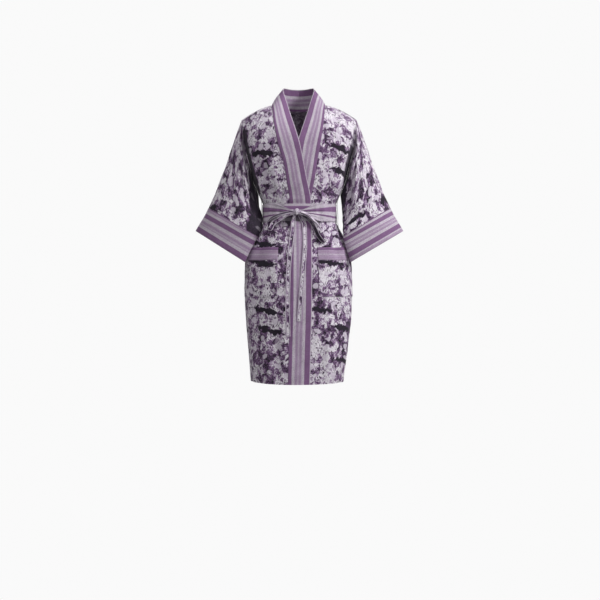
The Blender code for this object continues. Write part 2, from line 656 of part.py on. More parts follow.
# The ribbons' paths: place in x and z, and how far in front of the body's hollow.
# lean turns the ribbon from flat against the body, 0, to edge on, a quarter turn.
RIBBON_ROWS = "step x z lift lean width"
LOOP_RIGHT = table(
    RIBBON_ROWS,
    [
        (0, -0.0119, -0.3455, 0.0125, 0.9, 0.008),
        (1, -0.0295, -0.3480, 0.0150, 0.85, 0.011),
        (2, -0.0455, -0.3560, 0.0185, 0.6, 0.014),
        (3, -0.0600, -0.3690, 0.0205, 0.45, 0.014),
        (4, -0.0710, -0.3840, 0.0205, 0.45, 0.014),
        (5, -0.0800, -0.3985, 0.0185, 0.9, 0.013),
        (6, -0.0880, -0.3960, 0.0160, 1.2, 0.013),
        (7, -0.0895, -0.3790, 0.0145, 1.0, 0.014),
        (8, -0.0790, -0.3600, 0.0145, 0.8, 0.014),
        (9, -0.0545, -0.3465, 0.0145, 0.85, 0.013),
        (10, -0.0300, -0.3398, 0.0135, 0.9, 0.011),
        (11, -0.0126, -0.3370, 0.0125, 0.9, 0.008),
    ],
)
LOOP_LEFT = table(
    RIBBON_ROWS,
    [
        (0, 0.0034, -0.3370, 0.0125, 0.9, 0.008),
        (1, 0.0190, -0.3420, 0.0150, 0.95, 0.011),
        (2, 0.0345, -0.3535, 0.0170, 1.0, 0.013),
        (3, 0.0480, -0.3700, 0.0175, 1.05, 0.014),
        (4, 0.0615, -0.3905, 0.0170, 1.05, 0.014),
        (5, 0.0735, -0.4110, 0.0160, 1.0, 0.014),
        (6, 0.0815, -0.4280, 0.0145, 1.15, 0.013),
        (7, 0.0745, -0.4340, 0.0135, 1.15, 0.013),
        (8, 0.0600, -0.4190, 0.0140, 0.85, 0.014),
        (9, 0.0485, -0.3960, 0.0145, 0.75, 0.014),
        (10, 0.0380, -0.3745, 0.0150, 0.8, 0.014),
        (11, 0.0240, -0.3575, 0.0145, 0.9, 0.012),
        (12, 0.0027, -0.3460, 0.0125, 0.9, 0.008),
    ],
)
TAIL_LEFT = table(
    RIBBON_ROWS,
    [
        (0, 0.0015, -0.3490, 0.0070, 0, 0.008),
        (1, 0.0098, -0.3610, 0.0070, 0, 0.011),
        (2, 0.0178, -0.3790, 0.0064, 0, 0.013),
        (3, 0.0195, -0.4080, 0.0058, 0, 0.013),
        (4, 0.0200, -0.4450, 0.0054, 0, 0.013),
        (5, 0.0170, -0.4900, 0.0054, 0, 0.013),
        (6, 0.0090, -0.5800, 0.0054, 0, 0.013),
        (7, 0.0015, -0.6730, 0.0054, 0, 0.013),
    ],
)
TAIL_RIGHT = table(
    RIBBON_ROWS,
    [
        (0, -0.0110, -0.3490, 0.0070, 0, 0.008),
        (1, -0.0150, -0.3650, 0.0070, 0, 0.011),
        (2, -0.0165, -0.3950, 0.0062, 0, 0.014),
        (3, -0.0215, -0.4300, 0.0056, 0, 0.014),
        (4, -0.0260, -0.4700, 0.0054, 0, 0.014),
        (5, -0.0310, -0.5400, 0.0054, 0, 0.014),
        (6, -0.0325, -0.6200, 0.0054, 0, 0.014),
        (7, -0.0310, -0.7190, 0.0054, 0, 0.014),
    ],
)


def ribbon_frame(rows, step):
    """Centre, width direction and facing direction of a ribbon at steps along its path."""
    x, z, lift, lean, width = (along(rows["step"], rows[name], step) for name in list(rows)[1:])
    turn = turn_at(x, z)
    facing = body_normal(turn, z)
    # The line runs in front of the body without following its folds.
    centre = body_point(turn, z) + facing * lift[:, None]
    tangent = np.gradient(centre, axis=0)
    tangent /= np.linalg.norm(tangent, axis=1, keepdims=True)
    across = np.cross(tangent, facing)
    across /= np.linalg.norm(across, axis=1, keepdims=True)
    width_way = across * np.cos(lean)[:, None] + facing * np.sin(lean)[:, None]
    return centre, width_way * (width / 2)[:, None], np.cross(tangent, width_way)


def make_ribbon(name, rows, steps, colour):
    """A flat ribbon carried along its path."""
    centre, half, facing = ribbon_frame(rows, np.linspace(rows["step"][0], rows["step"][-1], steps))
    thick = facing * RIBBON_CLOTH / 2
    inner = np.stack([centre - half - thick, centre + half - thick], axis=1)
    outer = np.stack([centre - half + thick, centre + half + thick], axis=1)
    cloth_solid(name, inner, outer, colour)


def make_knot(name, colour):
    """The knot: a rounded block wound once round, with a shallow crease at its middle."""
    turns = np.linspace(0, 2 * math.pi, 16, endpoint=False)[None, :]
    heights = np.linspace(-math.pi / 2, math.pi / 2, 9)[1:-1, None]
    block, crease_depth, crease_reach = 0.75, 0.10, 0.35

    def power(value):
        return np.sign(value) * np.abs(value) ** block

    ring = power(np.cos(heights))
    crease = 1 - crease_depth * np.exp(-((heights / crease_reach) ** 2))
    half_x, half_y, half_z = KNOT_HALF
    x = half_x * ring * power(np.cos(turns)) * crease
    y = half_y * ring * power(np.sin(turns)) * crease
    z = half_z * power(np.sin(heights)) + 0 * turns
    body = np.stack([x, y, z], axis=-1)
    poles = np.array([[0, 0, -half_z], [0, 0, half_z]])
    rings, columns = body.shape[:2]
    index = np.arange(rings * columns).reshape(rings, columns)
    index = np.concatenate([index, index[:, :1]], axis=1)
    bottom = rings * columns
    quads = np.stack([index[:-1, :-1], index[:-1, 1:], index[1:, 1:], index[1:, :-1]], axis=-1).reshape(-1, 4)
    faces = quads.tolist()
    for pole, ring_index in ((bottom, index[0]), (bottom + 1, index[-1])):
        faces += [[pole, int(a), int(b)] for a, b in zip(ring_index[:-1], ring_index[1:])]
    turn = turn_at(KNOT_X, KNOT_Z)
    seat = UNDERLAP_LIFT + CLOTH + KNOT_SEAT_GAP - y.min()
    place = body_point(turn, KNOT_Z) + body_normal(turn, KNOT_Z) * seat
    points = np.concatenate([body.reshape(-1, 3), poles]) + place
    mesh_faces = np.empty(len(faces), object)
    mesh_faces[:] = faces
    add_object(name, points, mesh_faces, colour)


make_back("back_panel", PRINT_SHADE)
make_front("front_panel_right", -1, PRINT)
make_front("front_panel_left", 1, PRINT)
SLEEVE_SHARES = [0, 0.04, 0.10, 0.18, 0.27, 0.36, 0.46, 0.56, 0.67, CUFF_SEAM - CUFF_SEAM_GAP]
for side_name, which_side in (("right", -1), ("left", 1)):
    make_sleeve(f"sleeve_{side_name}", which_side, SLEEVE_SHARES, 0, CLOTH, PRINT)
    make_sleeve(f"cuff_band_{side_name}", which_side, [CUFF_SEAM, 0.89, 1], 0, CUFF_CLOTH, STRIPE)
    make_band(f"neck_band_{side_name}", which_side, STRIPE)
    patch = CLOTH + LAYER_GAP
    seam = POCKET_BAND_BOTTOM - SEAM_GAP
    make_pocket(f"pocket_{side_name}", which_side, POCKET_BOTTOM, seam, patch, CLOTH, PRINT)
    make_pocket(f"pocket_band_{side_name}", which_side, POCKET_BAND_BOTTOM, POCKET_TOP, patch, BAND_CLOTH, PALE)
    make_belt_loop(f"belt_loop_{side_name}", which_side, PALE)
make_underlap("sash_underlap", PALE)
make_sash("sash", STRIPE)
make_knot("bow_knot", PRINT)
make_ribbon("bow_loop_right", LOOP_RIGHT, 23, PRINT)
make_ribbon("bow_loop_left", LOOP_LEFT, 25, PRINT)
make_ribbon("tie_tail_right", TAIL_RIGHT, 16, PRINT)
make_ribbon("tie_tail_left", TAIL_LEFT, 15, PRINT)
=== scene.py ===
# %% [markdown]
# # Dressing a short wrapped robe in its cloth
#
# The robe is already built as solids: a back, two fronts, two sleeves, bands, pockets, a
# sash and a ribbon bow. This lesson covers each of them with its real cloth. Every piece
# is a thin closed shell, worked out on a grid of two parameters, in the place that the
# solid holds. The order is a dressmaker's: the body's form, its folds, the print and the
# stripes, and then piece by piece from the back to the bow.

# %% Load the frame
import math

import bmesh
import bpy
import mathutils
import numpy as np
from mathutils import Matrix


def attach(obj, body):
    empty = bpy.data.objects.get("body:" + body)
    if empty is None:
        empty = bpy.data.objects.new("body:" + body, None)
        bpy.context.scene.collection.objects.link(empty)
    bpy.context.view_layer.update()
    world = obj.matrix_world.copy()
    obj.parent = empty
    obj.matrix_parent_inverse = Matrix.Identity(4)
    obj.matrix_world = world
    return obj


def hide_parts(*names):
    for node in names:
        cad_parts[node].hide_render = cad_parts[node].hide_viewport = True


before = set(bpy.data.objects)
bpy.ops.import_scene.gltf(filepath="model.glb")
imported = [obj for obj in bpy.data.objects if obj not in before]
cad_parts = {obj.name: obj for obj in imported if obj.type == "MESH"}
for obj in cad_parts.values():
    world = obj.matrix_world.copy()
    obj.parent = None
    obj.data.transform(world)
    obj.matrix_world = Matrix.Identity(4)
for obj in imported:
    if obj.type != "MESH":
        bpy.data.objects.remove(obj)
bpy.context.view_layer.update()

# %% [markdown]
# ## The camera
#
# A long lens far away keeps the robe's outline almost flat, as a fashion photographer has
# it. Lens, distance and sensor are tied together by one number: how much of the robe's
# middle plane one picture point covers.

# %% Set up the camera
CAMERA_DISTANCE = 5.0
CAMERA_HEIGHT = -0.611
CAMERA_ASIDE = 0.0047
PICTURE_WIDTH = 600 * 0.00315
SENSOR = 36.0


def put(name, data):
    """A new object in the scene."""
    made = bpy.data.objects.new(name, data)
    bpy.context.scene.collection.objects.link(made)
    return made


camera_data = bpy.data.cameras.new("studio_camera")
camera_data.sensor_width = SENSOR
camera_data.lens = SENSOR * CAMERA_DISTANCE / PICTURE_WIDTH
camera = put("studio_camera", camera_data)
camera.location = (CAMERA_ASIDE, -CAMERA_DISTANCE, CAMERA_HEIGHT)
camera.rotation_euler = (math.pi / 2, 0, 0)
bpy.context.scene.camera = camera
print("lens", round(camera_data.lens, 1), "mm")

# %% [markdown]
# ## Curves through a few sizes
#
# A pattern cutter knows a robe by a short table: how wide it is at the hem, the hip, the
# waist. `along` draws a smooth curve through such a column and never swings past its
# values, so that a waist stays a waist. `ease` is the soft switch that the rest uses.
# Tables are written in millimetres, as on a tape, and every other length in metres.

# %% Helpers for tables and surfaces
MM = 1000


def table(names, rows, plain=""):
    """The named columns of a short table: in millimetres, but for those that plain names."""
    columns = zip(names.split(), np.array(rows, float).T)
    return {name: column if name in plain.split() else column / MM for name, column in columns}


def along(places, values, at):
    """A cubic between neighbours, whose slope at each is the harmonic mean of its two runs."""
    at = np.clip(at, places[0], places[-1])
    runs = np.diff(values) / np.diff(places)
    before, after = runs[:-1], runs[1:]
    both = before * after
    middle = np.where(both > 0, 2 * both / np.where(both > 0, before + after, 1), 0)
    slopes = np.concatenate([runs[:1], middle, runs[-1:]])
    left = np.clip(np.searchsorted(places, at, side="right") - 1, 0, len(places) - 2)
    step = places[left + 1] - places[left]
    t = (at - places[left]) / step
    ends = values[left] * (1 + 2 * t) * (1 - t) ** 2 + values[left + 1] * t**2 * (3 - 2 * t)
    leans = slopes[left] * t * (1 - t) ** 2 - slopes[left + 1] * t**2 * (1 - t)
    return ends + step * leans


def read(columns, at, names=None):
    """The curves through a table's columns, at places in its first one."""
    first, *others = columns
    return [along(columns[first], columns[name], at) for name in names or others]


def ease(start, end, value):
    """0 before start, 1 after end, and a smooth rise between them."""
    t = np.clip((value - start) / (end - start), 0, 1)
    return t * t * (3 - 2 * t)


def bell(value, width):
    """1 at zero, and a smooth fall to nothing on both sides."""
    return np.exp(-((value / width) ** 2))


def normals(surface, a, b, step_a, step_b):
    """Unit normals: the cross product of the surface's runs along its two parameters."""
    run = surface(a + step_a, b) - surface(a - step_a, b)
    rise = surface(a, b + step_b) - surface(a, b - step_b)
    cross = np.cross(run, rise)
    return cross / np.linalg.norm(cross, axis=-1, keepdims=True)


# %% [markdown]
# ## The body's form
#
# The robe hangs in rounded oblongs, one at each level from the hem to the shoulder line.
# The same sections made the solids, so the cloth lies exactly where they are. `turn` runs
# round a section: 0 at the right side seam, a quarter turn at the front centre, half a turn
# at the left side, and negative across the back.

# %% Sizes of the body
CLOTH, BAND_CLOTH, CUFF_CLOTH, RIBBON_CLOTH = 0.0012, 0.0016, 0.0020, 0.0014
SEAM_GAP, LAYER_GAP = 0.0004, 0.0006
SQUARENESS = 2.3
HEM, UNDERARM, SHOULDER_TOP = -0.866, -0.280, -1e-9
NECK_HALF, SHOULDER_FALL, SHOULDER_LENGTH = 0.0825, 0.044, 0.0955
ROUND_START, FRONT_ROUNDING, BACK_ROUNDING = -0.135, 2.4, 3.2
ARMHOLE_HALF_DEPTH, HEM_SAG = 0.055, 0.0065
BACK_NECK_DEPTH, BACK_NECK_POWER, BAND_END_KEY = 0.110, 2.2, 0.26
SASH_TOP, SASH_BOTTOM = -0.312, -0.368
SIDES = ((-1, "right"), (1, "left"))
KNOT_X, KNOT_Z = -0.0046, -0.338
BODY = table("level side front back centre", [
    (-866, 145, 117, 128, -3), (-781, 154, 118, 130, -0.5), (-680, 164.5, 119, 131, 1.2),
    (-600, 168.2, 118, 130, 0.4), (-500, 165.5, 112, 125, -1), (-455, 157, 106, 116, -0.5),
    (-410, 139, 98, 105, 1), (-365, 113.5, 89, 90, 3), (-312, 113, 89, 89, 3), (-280, 127, 95, 93, 3),
    (-233, 144, 102, 100, 3), (-170, 157, 106, 108, 3), (-120, 167, 106, 112, 3), (-60, 175, 106, 113, 2.5),
    (0, 178, 106, 113, 2),
])


def section(turn, level):
    """Depth on this face, half width, armhole share of the depth, and centre of a section."""
    side, front, back, centre = read(BODY, level)
    rise = np.clip((level - ROUND_START) / -ROUND_START, 0, 1)
    face_depth = (front * np.sqrt(1 - rise**FRONT_ROUNDING), back * np.sqrt(1 - rise**BACK_ROUNDING))
    depth = np.where(np.sin(turn) >= 0, *face_depth)
    t = above_underarm(level)
    hole = 2 * ARMHOLE_HALF_DEPTH * np.sqrt(t * (1 - t)) / depth
    return depth, side / (1 - hole**SQUARENESS) ** (1 / SQUARENESS), hole, centre


def above_underarm(level):
    """A level's share of the way from the underarm to the shoulder line."""
    return np.clip((level - UNDERARM) / -UNDERARM, 0, 1)


def body_point(turn, level):
    """A superellipse section: each axis is a power of the turn's cosine or sine, and the
    shoulder falls away from the neck."""
    turn, level = np.broadcast_arrays(np.asarray(turn, float), np.minimum(level, SHOULDER_TOP))
    depth, width, _, centre = section(turn, level)
    cosine, sine = np.cos(turn), np.sin(turn)
    across = -np.sign(cosine) * np.abs(cosine) ** (2 / SQUARENESS) * width
    y = -np.sign(sine) * np.abs(sine) ** (2 / SQUARENESS) * depth
    beyond_neck = np.maximum(np.abs(across) - NECK_HALF, 0) / SHOULDER_LENGTH
    fall = SHOULDER_FALL * beyond_neck**1.5 * above_underarm(level)
    sag = HEM_SAG * sine**2 * ease(-0.5, HEM, level)
    return np.stack([centre + across, y, level - fall - sag], axis=-1)


def body_normal(turn, level):
    """The way straight out from the body's form."""
    return normals(body_point, turn, level, 1e-4, 1e-5)


def armhole_turn(level, face):
    """The turn at which a panel ends at the armhole, or at the side seam below it."""
    face = np.asarray(face, float)
    hole = section(face * 0.5, np.minimum(level, SHOULDER_TOP))[2]
    return face * np.arcsin(hole ** (SQUARENESS / 2))


def turn_at(x, level, face=1):
    """The turn at which the section at a level reaches x, on the front or the back."""
    _, width, _, centre = section(np.asarray(face * 0.5), np.minimum(level, SHOULDER_TOP))
    across = np.clip((x - centre) / width, -1, 1)
    return face * np.arccos(-np.sign(across) * np.abs(across) ** (SQUARENESS / 2))


print("half width at the waist", BODY["side"].min(), "m, at the hip", BODY["side"].max(), "m")

# %% [markdown]
# ## Folds, placed one by one
#
# Cotton creases where it is held: it fans out above and below a tied sash, drags from the
# armholes, and falls in soft flutes to the hem. A fold here is a bell-shaped ridge or
# trough along a line. The large ones are the solids' own. The small ones are added,
# uneven in length and depth, with others like them on the back. A simulation could find
# folds too, but it wouldn't put them where this robe has them.

# %% Fold tables and the body's cloth
MAIN_FRONT = np.array([
    (-88, -372, -128, -500, 11, -4.5), (-62, -372, -88, -462, 12, 3), (88, -372, 130, -500, 11, -4.5),
    (64, -372, 94, -462, 12, 3), (-78, -306, -118, -180, 12, -4.5), (-56, -306, -78, -205, 11, 3.5),
    (74, -306, 116, -170, 12, -4.5), (94, -306, 138, -235, 11, 3), (-112, -640, -104, -880, 20, 5),
    (-70, -660, -64, -880, 18, -4.5), (104, -630, 98, -880, 20, 5), (72, -660, 66, -880, 18, -4.5),
]) / MM
MAIN_BACK = np.array([
    (-72, -372, -110, -520, 14, -5), (-30, -372, -44, -500, 13, 3.5), (34, -372, 46, -490, 13, 3.5),
    (76, -372, 112, -520, 14, -5), (-78, -306, -112, -150, 14, -5.5), (-30, -306, -38, -190, 13, 4),
    (26, -306, 34, -170, 13, 4), (78, -306, 110, -150, 14, -5.5), (-96, -600, -100, -880, 22, 6),
    (-30, -640, -28, -880, 22, -5), (40, -620, 40, -880, 22, 5.5), (98, -640, 96, -880, 20, -5),
]) / MM
SMALL_FRONT = np.array([
    (-104, -374, -138, -455, 5.5, 3), (-77, -374, -104, -440, 4.5, 2.2), (-46, -374, -58, -430, 5, -2),
    (50, -374, 60, -425, 5, -1.8), (76, -374, 108, -448, 4.5, 2.4), (102, -374, 136, -460, 5.5, 3),
    (-92, -306, -108, -250, 5, 2.6), (-68, -306, -78, -262, 4.5, -2), (-50, -306, -54, -255, 5, -1.8),
    (52, -306, 57, -250, 5, -1.8), (66, -306, 80, -215, 5.5, 2.6), (84, -306, 100, -255, 4.5, -2.2),
    (-158, -105, -108, -168, 8, 2.2), (-150, -150, -100, -225, 8, -2.2), (-140, -210, -96, -262, 6.5, 2.4),
    (160, -112, 112, -160, 8, 2), (150, -160, 104, -215, 8, -2.2), (142, -222, 104, -268, 6.5, 2.2),
    (-128, -560, -120, -720, 10, -2.4), (-90, -690, -86, -880, 8, 2.2), (-48, -610, -46, -760, 8, 1.6),
    (124, -560, 118, -740, 10, -2.4), (88, -700, 84, -880, 8, 2.2), (56, -620, 54, -800, 8, 1.6),
]) / MM
SMALL_BACK = np.array([
    (-98, -374, -134, -450, 5.5, 3), (-56, -374, -72, -445, 5, 2.4), (-12, -374, -14, -450, 5.5, -2.2),
    (18, -374, 22, -435, 5, 2), (58, -374, 76, -455, 5, 2.6), (100, -374, 132, -440, 5.5, 2.8),
    (-94, -306, -118, -230, 5.5, 2.8), (-54, -306, -64, -235, 5, -2.4), (-6, -306, -8, -225, 6, -2.2),
    (52, -306, 60, -240, 5, -2.4), (92, -306, 120, -235, 5.5, 2.8), (-156, -110, -90, -150, 9, 2.4),
    (-146, -190, -84, -215, 8.5, -2.2), (156, -105, 86, -142, 9, 2.4), (148, -180, 88, -212, 8.5, -2.2),
    (-60, -640, -62, -860, 10, 2), (4, -600, 6, -800, 10, 1.8), (72, -650, 70, -880, 10, -2),
]) / MM


def fold_height(a, b, rows, start, end, spread=0):
    """Adds up bells across straight lines; each fades in past its start and out at its end,
    and spread is how much wider it grows on the way."""
    total = np.zeros(np.broadcast(a, b).shape)
    for a0, b0, a1, b1, width, depth in rows:
        run_a, run_b = a1 - a0, b1 - b0
        length = math.hypot(run_a, run_b)
        part = ((a - a0) * run_a + (b - b0) * run_b) / length**2
        off = ((a - a0) * run_b - (b - b0) * run_a) / length
        wide = width * (1 + spread * np.clip(part, 0, 1))
        total += depth * ease(start, 0.3, part) * ease(end, 0.7, part) * bell(off, wide)
    return total


CRIMP_STEP, CRIMP_HEIGHT = 0.017, 0.0011
LIP_HEIGHT, LIP_REACH, LIP_AWAY = 0.0022, 0.009, 0.012
FLUTES = table("count shift height", [(5, 0.9, 2.2), (8, 2.6, 2.0), (13, 0.4, 1.2)], "count shift")
RIPPLES = table("across up shift height", [
    (105, 42, 0, 0.5), (-64, 150, 1.2, 0.4), (190, -85, 2.3, 0.3),
], "across up shift")


def body_fold(turn, level):
    """All the folds of the body's cloth: tables, crimps at the sash, flutes and ripples."""
    x = body_point(turn, level)[..., 0]
    front, back = (
        fold_height(x, level, main, 0, 1.25) + fold_height(x, level, small, -0.1, 1.2, 0.9)
        for main, small in ((MAIN_FRONT, SMALL_FRONT), (MAIN_BACK, SMALL_BACK))
    )
    from_sash = np.where(level > SASH_TOP, level - SASH_TOP, np.minimum(level - SASH_BOTTOM, 0))
    crimp = CRIMP_HEIGHT * np.sin(x * math.tau / CRIMP_STEP + 2 * np.sin(47 * x))
    crimp = crimp * bell(from_sash, 0.026) * ease(0.036, 0.055, np.abs(x))
    edge = np.abs(np.sin(turn)) - np.abs(np.sin(armhole_turn(level, 1)))
    total = (np.where(np.sin(turn) >= 0, front, back) + crimp) * ease(0.02, 0.30, edge)
    lips = bell(level - SASH_TOP - LIP_AWAY, LIP_REACH) + bell(level - SASH_BOTTOM + LIP_AWAY, LIP_REACH)
    total += LIP_HEIGHT * lips
    middle_front = bell(x, 0.055) * (np.sin(turn) > 0)
    for count, shift, height in zip(*FLUTES.values()):
        total += height * np.cos(count * turn + shift) * ease(-0.44, HEM, level) * (1 - 0.75 * middle_front)
    for across, up, shift, height in zip(*RIPPLES.values()):
        total += height * np.sin(across * x + up * level + shift) * ease(0.02, 0.2, edge)
    return total * ease(-0.01, -0.06, level)


ARMHOLE_PULL, PULL_REACH = 0.018, 0.011
SLEEVE_PULL, SLEEVE_PULL_REACH = {-1: 0.030, 1: 0.024}, {-1: 0.026, 1: 0.015}


def pull_weight(level):
    """How strongly the armhole seam is drawn in at a level: nothing at its top and bottom."""
    t = above_underarm(level)
    return ease(0.02, 0.25, t) * ease(0.95, 0.55, t)


def drawn_in(points, distance, level, pull=ARMHOLE_PULL, reach=PULL_REACH):
    """Moves points back from the face they are on, most at the armhole's seam."""
    pull = pull * bell(distance, reach) * pull_weight(level)
    points[..., 1] -= np.sign(points[..., 1]) * np.minimum(pull, np.abs(points[..., 1]) * 0.8)
    return points


def on_body(turn, level, lift):
    """A point of the body's cloth, a lift out from the hollow's surface."""
    turn, level, lift = np.broadcast_arrays(turn, level, lift)
    out = body_normal(turn, level) * (body_fold(turn, level) + lift)[..., None]
    points = body_point(turn, level)
    side, centre = read(BODY, level, ["side", "centre"])
    from_armhole = side - np.abs(points[..., 0] - centre)
    return drawn_in(points + out, from_armhole, level)


# Where shade is painted beside each armhole: the height, the near and far lines across, and the strength.
HOLLOW_ROWS = "z near far strength"
PAINTED_SHADE_BESIDE_ARMHOLES = {
    -1: table(HOLLOW_ROWS, [
        (-420, 140, 164, 0.6), (-385, 120, 160, 0.9), (-345, 115, 150, 1), (-300, 118, 152, 1),
        (-255, 125, 153, 1), (-215, 137, 151, 1), (-180, 146, 154.5, 1), (-140, 154, 160, 1),
        (-100, 163, 167.5, 0.9), (-66, 169, 172, 0.7),
    ], "strength"),
    1: table(HOLLOW_ROWS, [
        (-420, 138, 142, 0.5), (-385, 134, 140, 0.7), (-345, 135, 143, 0.8), (-300, 137, 146, 0.9),
        (-255, 140, 151, 1), (-215, 143, 157, 1), (-180, 149, 162, 1), (-140, 161, 167, 0.9),
        (-100, 170, 171.5, 0.7), (-66, 174, 174.5, 0.6),
    ], "strength"),
}
# Painted shade laid evenly over the wearer's right sleeve and cuff, on the side away from the key lamp.
RIGHT_SLEEVE_PAINTED_SHADE = 0.13


def painted_hollow_shade(side, points, inwards):
    """Painted shade, 1 in the deep place beside the armhole, by height: between its near and its far line,
    with a soft edge; a panel of the body has it only inwards of the near line, and the wearer's right
    sleeve has at least its even painted shade."""
    z, x = points[..., 2], side * points[..., 0]
    near, far, strength = read(PAINTED_SHADE_BESIDE_ARMHOLES[side], z)
    reach = strength * ease(-0.060, -0.085, z) * ease(-0.440, -0.410, z)
    if inwards:
        return reach * ease(near - 0.003, near + 0.002, x)
    ragged = 0.0022 * np.sin(260 * z + 2 * np.sin(90 * z)) * ease(-0.20, -0.26, z)
    base = RIGHT_SLEEVE_PAINTED_SHADE if side < 0 else 0.0
    return np.maximum(reach * ease(far + 0.0035 + ragged, far - 0.0035 + ragged, x), base)


print(len(MAIN_FRONT) + len(MAIN_BACK), "main folds and", len(SMALL_FRONT) + len(SMALL_BACK), "small ones")

# %% [markdown]
# ## From a grid to a closed shell
#
# Cloth has two faces and an edge. Each piece is one grid of points for its inner face and
# one for its outer face, joined round the rim. A UV map in metres goes with them, so that
# a stripe of two centimetres is two centimetres wide on every piece. The inner face gets
# a material of its own, because a print is paler on its wrong side.

# %% Build shells from grids
def cloth_lengths(points, anchor=0):
    """Pattern coordinates in metres: the length across from an anchor column, and up the rows."""
    across = np.linalg.norm(np.diff(points, axis=1), axis=2)
    up = np.linalg.norm(np.diff(points, axis=0), axis=2).mean(axis=1)
    u = np.concatenate([np.zeros((len(points), 1)), np.cumsum(across, axis=1)], axis=1)
    v = np.concatenate([[0], np.cumsum(up)])[:, None]
    return np.stack(np.broadcast_arrays(u - u[:, [anchor]], v), axis=-1)


STITCH_LINE, STITCH_PITCH = 0.0022, 0.0034


def sewn_along(run, from_edge):
    """Pattern coordinates of a row of stitches: metres along it, and metres off it."""
    return np.stack(np.broadcast_arrays(run, from_edge - STITCH_LINE), axis=-1)


def quads_between(corner):
    """The four-sided faces between neighbours in a grid of corner numbers."""
    around = [corner[:-1, :-1], corner[:-1, 1:], corner[1:, 1:], corner[1:, :-1]]
    return np.stack(around, axis=-1).reshape(-1, 4)


def shell(name, inner, outer, uv, materials, tube=False, shade=None, sewn=None):
    """Joins two like grids round their rim: quads on each face, and one strip along each edge.
    On a tube the last column meets the first, and uv has one column more than the points.
    shade is a number for each point that the materials paint as shade, and sewn is a second UV map."""
    rows, columns = inner.shape[:2]
    wide = columns + tube
    corner = np.arange(rows * wide).reshape(rows, wide)
    point = (np.arange(rows)[:, None] * columns + np.arange(wide) % columns).ravel()
    quads = quads_between(corner)
    edges = [corner[0], corner[-1]] + ([] if tube else [corner[:, 0], corner[:, -1]])
    rim = np.concatenate([np.stack([edge[:-1], edge[1:], edge[1:], edge[:-1]], axis=-1) for edge in edges])
    corners = np.concatenate([quads, quads, rim])
    layers = [np.zeros_like(quads), np.ones_like(quads), np.broadcast_to([0, 0, 1, 1], rim.shape)]
    faces = point[corners] + np.concatenate(layers) * rows * columns
    mesh = bpy.data.meshes.new(name)
    mesh.from_pydata(np.concatenate([inner.reshape(-1, 3), outer.reshape(-1, 3)]), [], faces)
    mesh.uv_layers.new(name="cloth").data.foreach_set("uv", uv.reshape(-1, 2)[corners].ravel())
    if sewn is not None:
        mesh.uv_layers.new(name="sewn").data.foreach_set("uv", sewn.reshape(-1, 2)[corners].ravel())
    for material in materials:
        mesh.materials.append(material)
    if shade is not None:
        mesh.attributes.new("shade", "FLOAT", "POINT").data.foreach_set("value", np.tile(shade.ravel(), 2))
    inside = np.zeros(len(corners), np.int32)
    inside[: len(quads)] = len(materials) - 1
    mesh.polygons.foreach_set("material_index", inside)
    return finish_mesh(name, mesh)


def finish_mesh(name, mesh):
    """Turns the faces outwards, shades them smooth and adds the object, at the origin."""
    shape = bmesh.new()
    shape.from_mesh(mesh)
    bmesh.ops.recalc_face_normals(shape, faces=shape.faces)
    shape.to_mesh(mesh)
    shape.free()
    mesh.shade_smooth()
    mesh.set_sharp_from_angle(angle=math.radians(60))
    return put(name, mesh)


def dress(piece, node):
    """Puts a piece in the place of its solid, on the robe's only body."""
    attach(piece, "root")
    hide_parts(node)
    area = sum(face.area for face in piece.data.polygons) / 2
    print(f"{piece.name}: {len(piece.data.polygons)} faces, {area:.4f} square metres of cloth")
    return piece


# %% [markdown]
# ## The finish: nodes by the handful
#
# A procedural cloth takes a lot of nodes, so two short helpers add and link them. Colours
# are written as a screen shows them, from 0 to 255, and turned into light values here.

# %% Helpers for materials
def display(red, green, blue):
    """Screen values to linear light, by the standard curve, with a full fourth value."""
    share = np.array([red, green, blue]) / 255
    return (*np.where(share < 0.04045, share / 12.92, ((share + 0.055) / 1.055) ** 2.4).tolist(), 1)


def node(tree, kind, inputs, **settings):
    """Adds a shader node; an input that is a socket is linked, and any other is set."""
    made = tree.nodes.new("ShaderNode" + kind)
    for name, value in settings.items():
        setattr(made, name, value)
    for place, value in inputs.items():
        if isinstance(value, bpy.types.NodeSocket):
            tree.links.new(value, made.inputs[place])
        else:
            made.inputs[place].default_value = value
    return made


def maths(tree, operation, *values):
    """One step of arithmetic on single numbers."""
    return node(tree, "Math", dict(enumerate(values)), operation=operation).outputs[0]


def vectors(tree, operation, *values):
    """One step of arithmetic on places."""
    return node(tree, "VectorMath", dict(enumerate(values)), operation=operation).outputs[0]


def parts(tree, place):
    """The numbers of a place, one by one."""
    return node(tree, "SeparateXYZ", {0: place}).outputs


def noise(tree, place, stretch, detail=3.0, rough=0.5, distortion=0.0):
    """Fractal noise with its own scale each way, in features a metre."""
    scaled = vectors(tree, "MULTIPLY", place, (*stretch, 1))
    inputs = {"Vector": scaled, "Scale": 1.0, "Detail": detail, "Roughness": rough}
    inputs["Distortion"] = distortion
    return node(tree, "TexNoise", inputs, noise_dimensions="2D").outputs["Fac"]


def scattered(tree, place, scale, channel, randomness=1.0):
    """Cells round scattered points: the pattern's outputs, and one number by chance a cell."""
    inputs = {"Vector": place, "Scale": scale, "Randomness": randomness}
    found = node(tree, "TexVoronoi", inputs, voronoi_dimensions="2D").outputs
    return found, node(tree, "SeparateColor", {0: found["Color"]}).outputs[channel]


def off_middle(tree, value, pitch):
    """How far a value is from the middle of its repeat, as a share of the pitch."""
    part = maths(tree, "FRACT", maths(tree, "DIVIDE", value, pitch))
    return maths(tree, "ABSOLUTE", maths(tree, "SUBTRACT", part, 0.5))


def soft_step(tree, value, low, high):
    """0 at low, 1 at high, and a smooth rise between them; low may be the larger one."""
    inputs = {"Value": value, "From Min": low, "From Max": high}
    return node(tree, "MapRange", inputs, interpolation_type="SMOOTHSTEP").outputs["Result"]


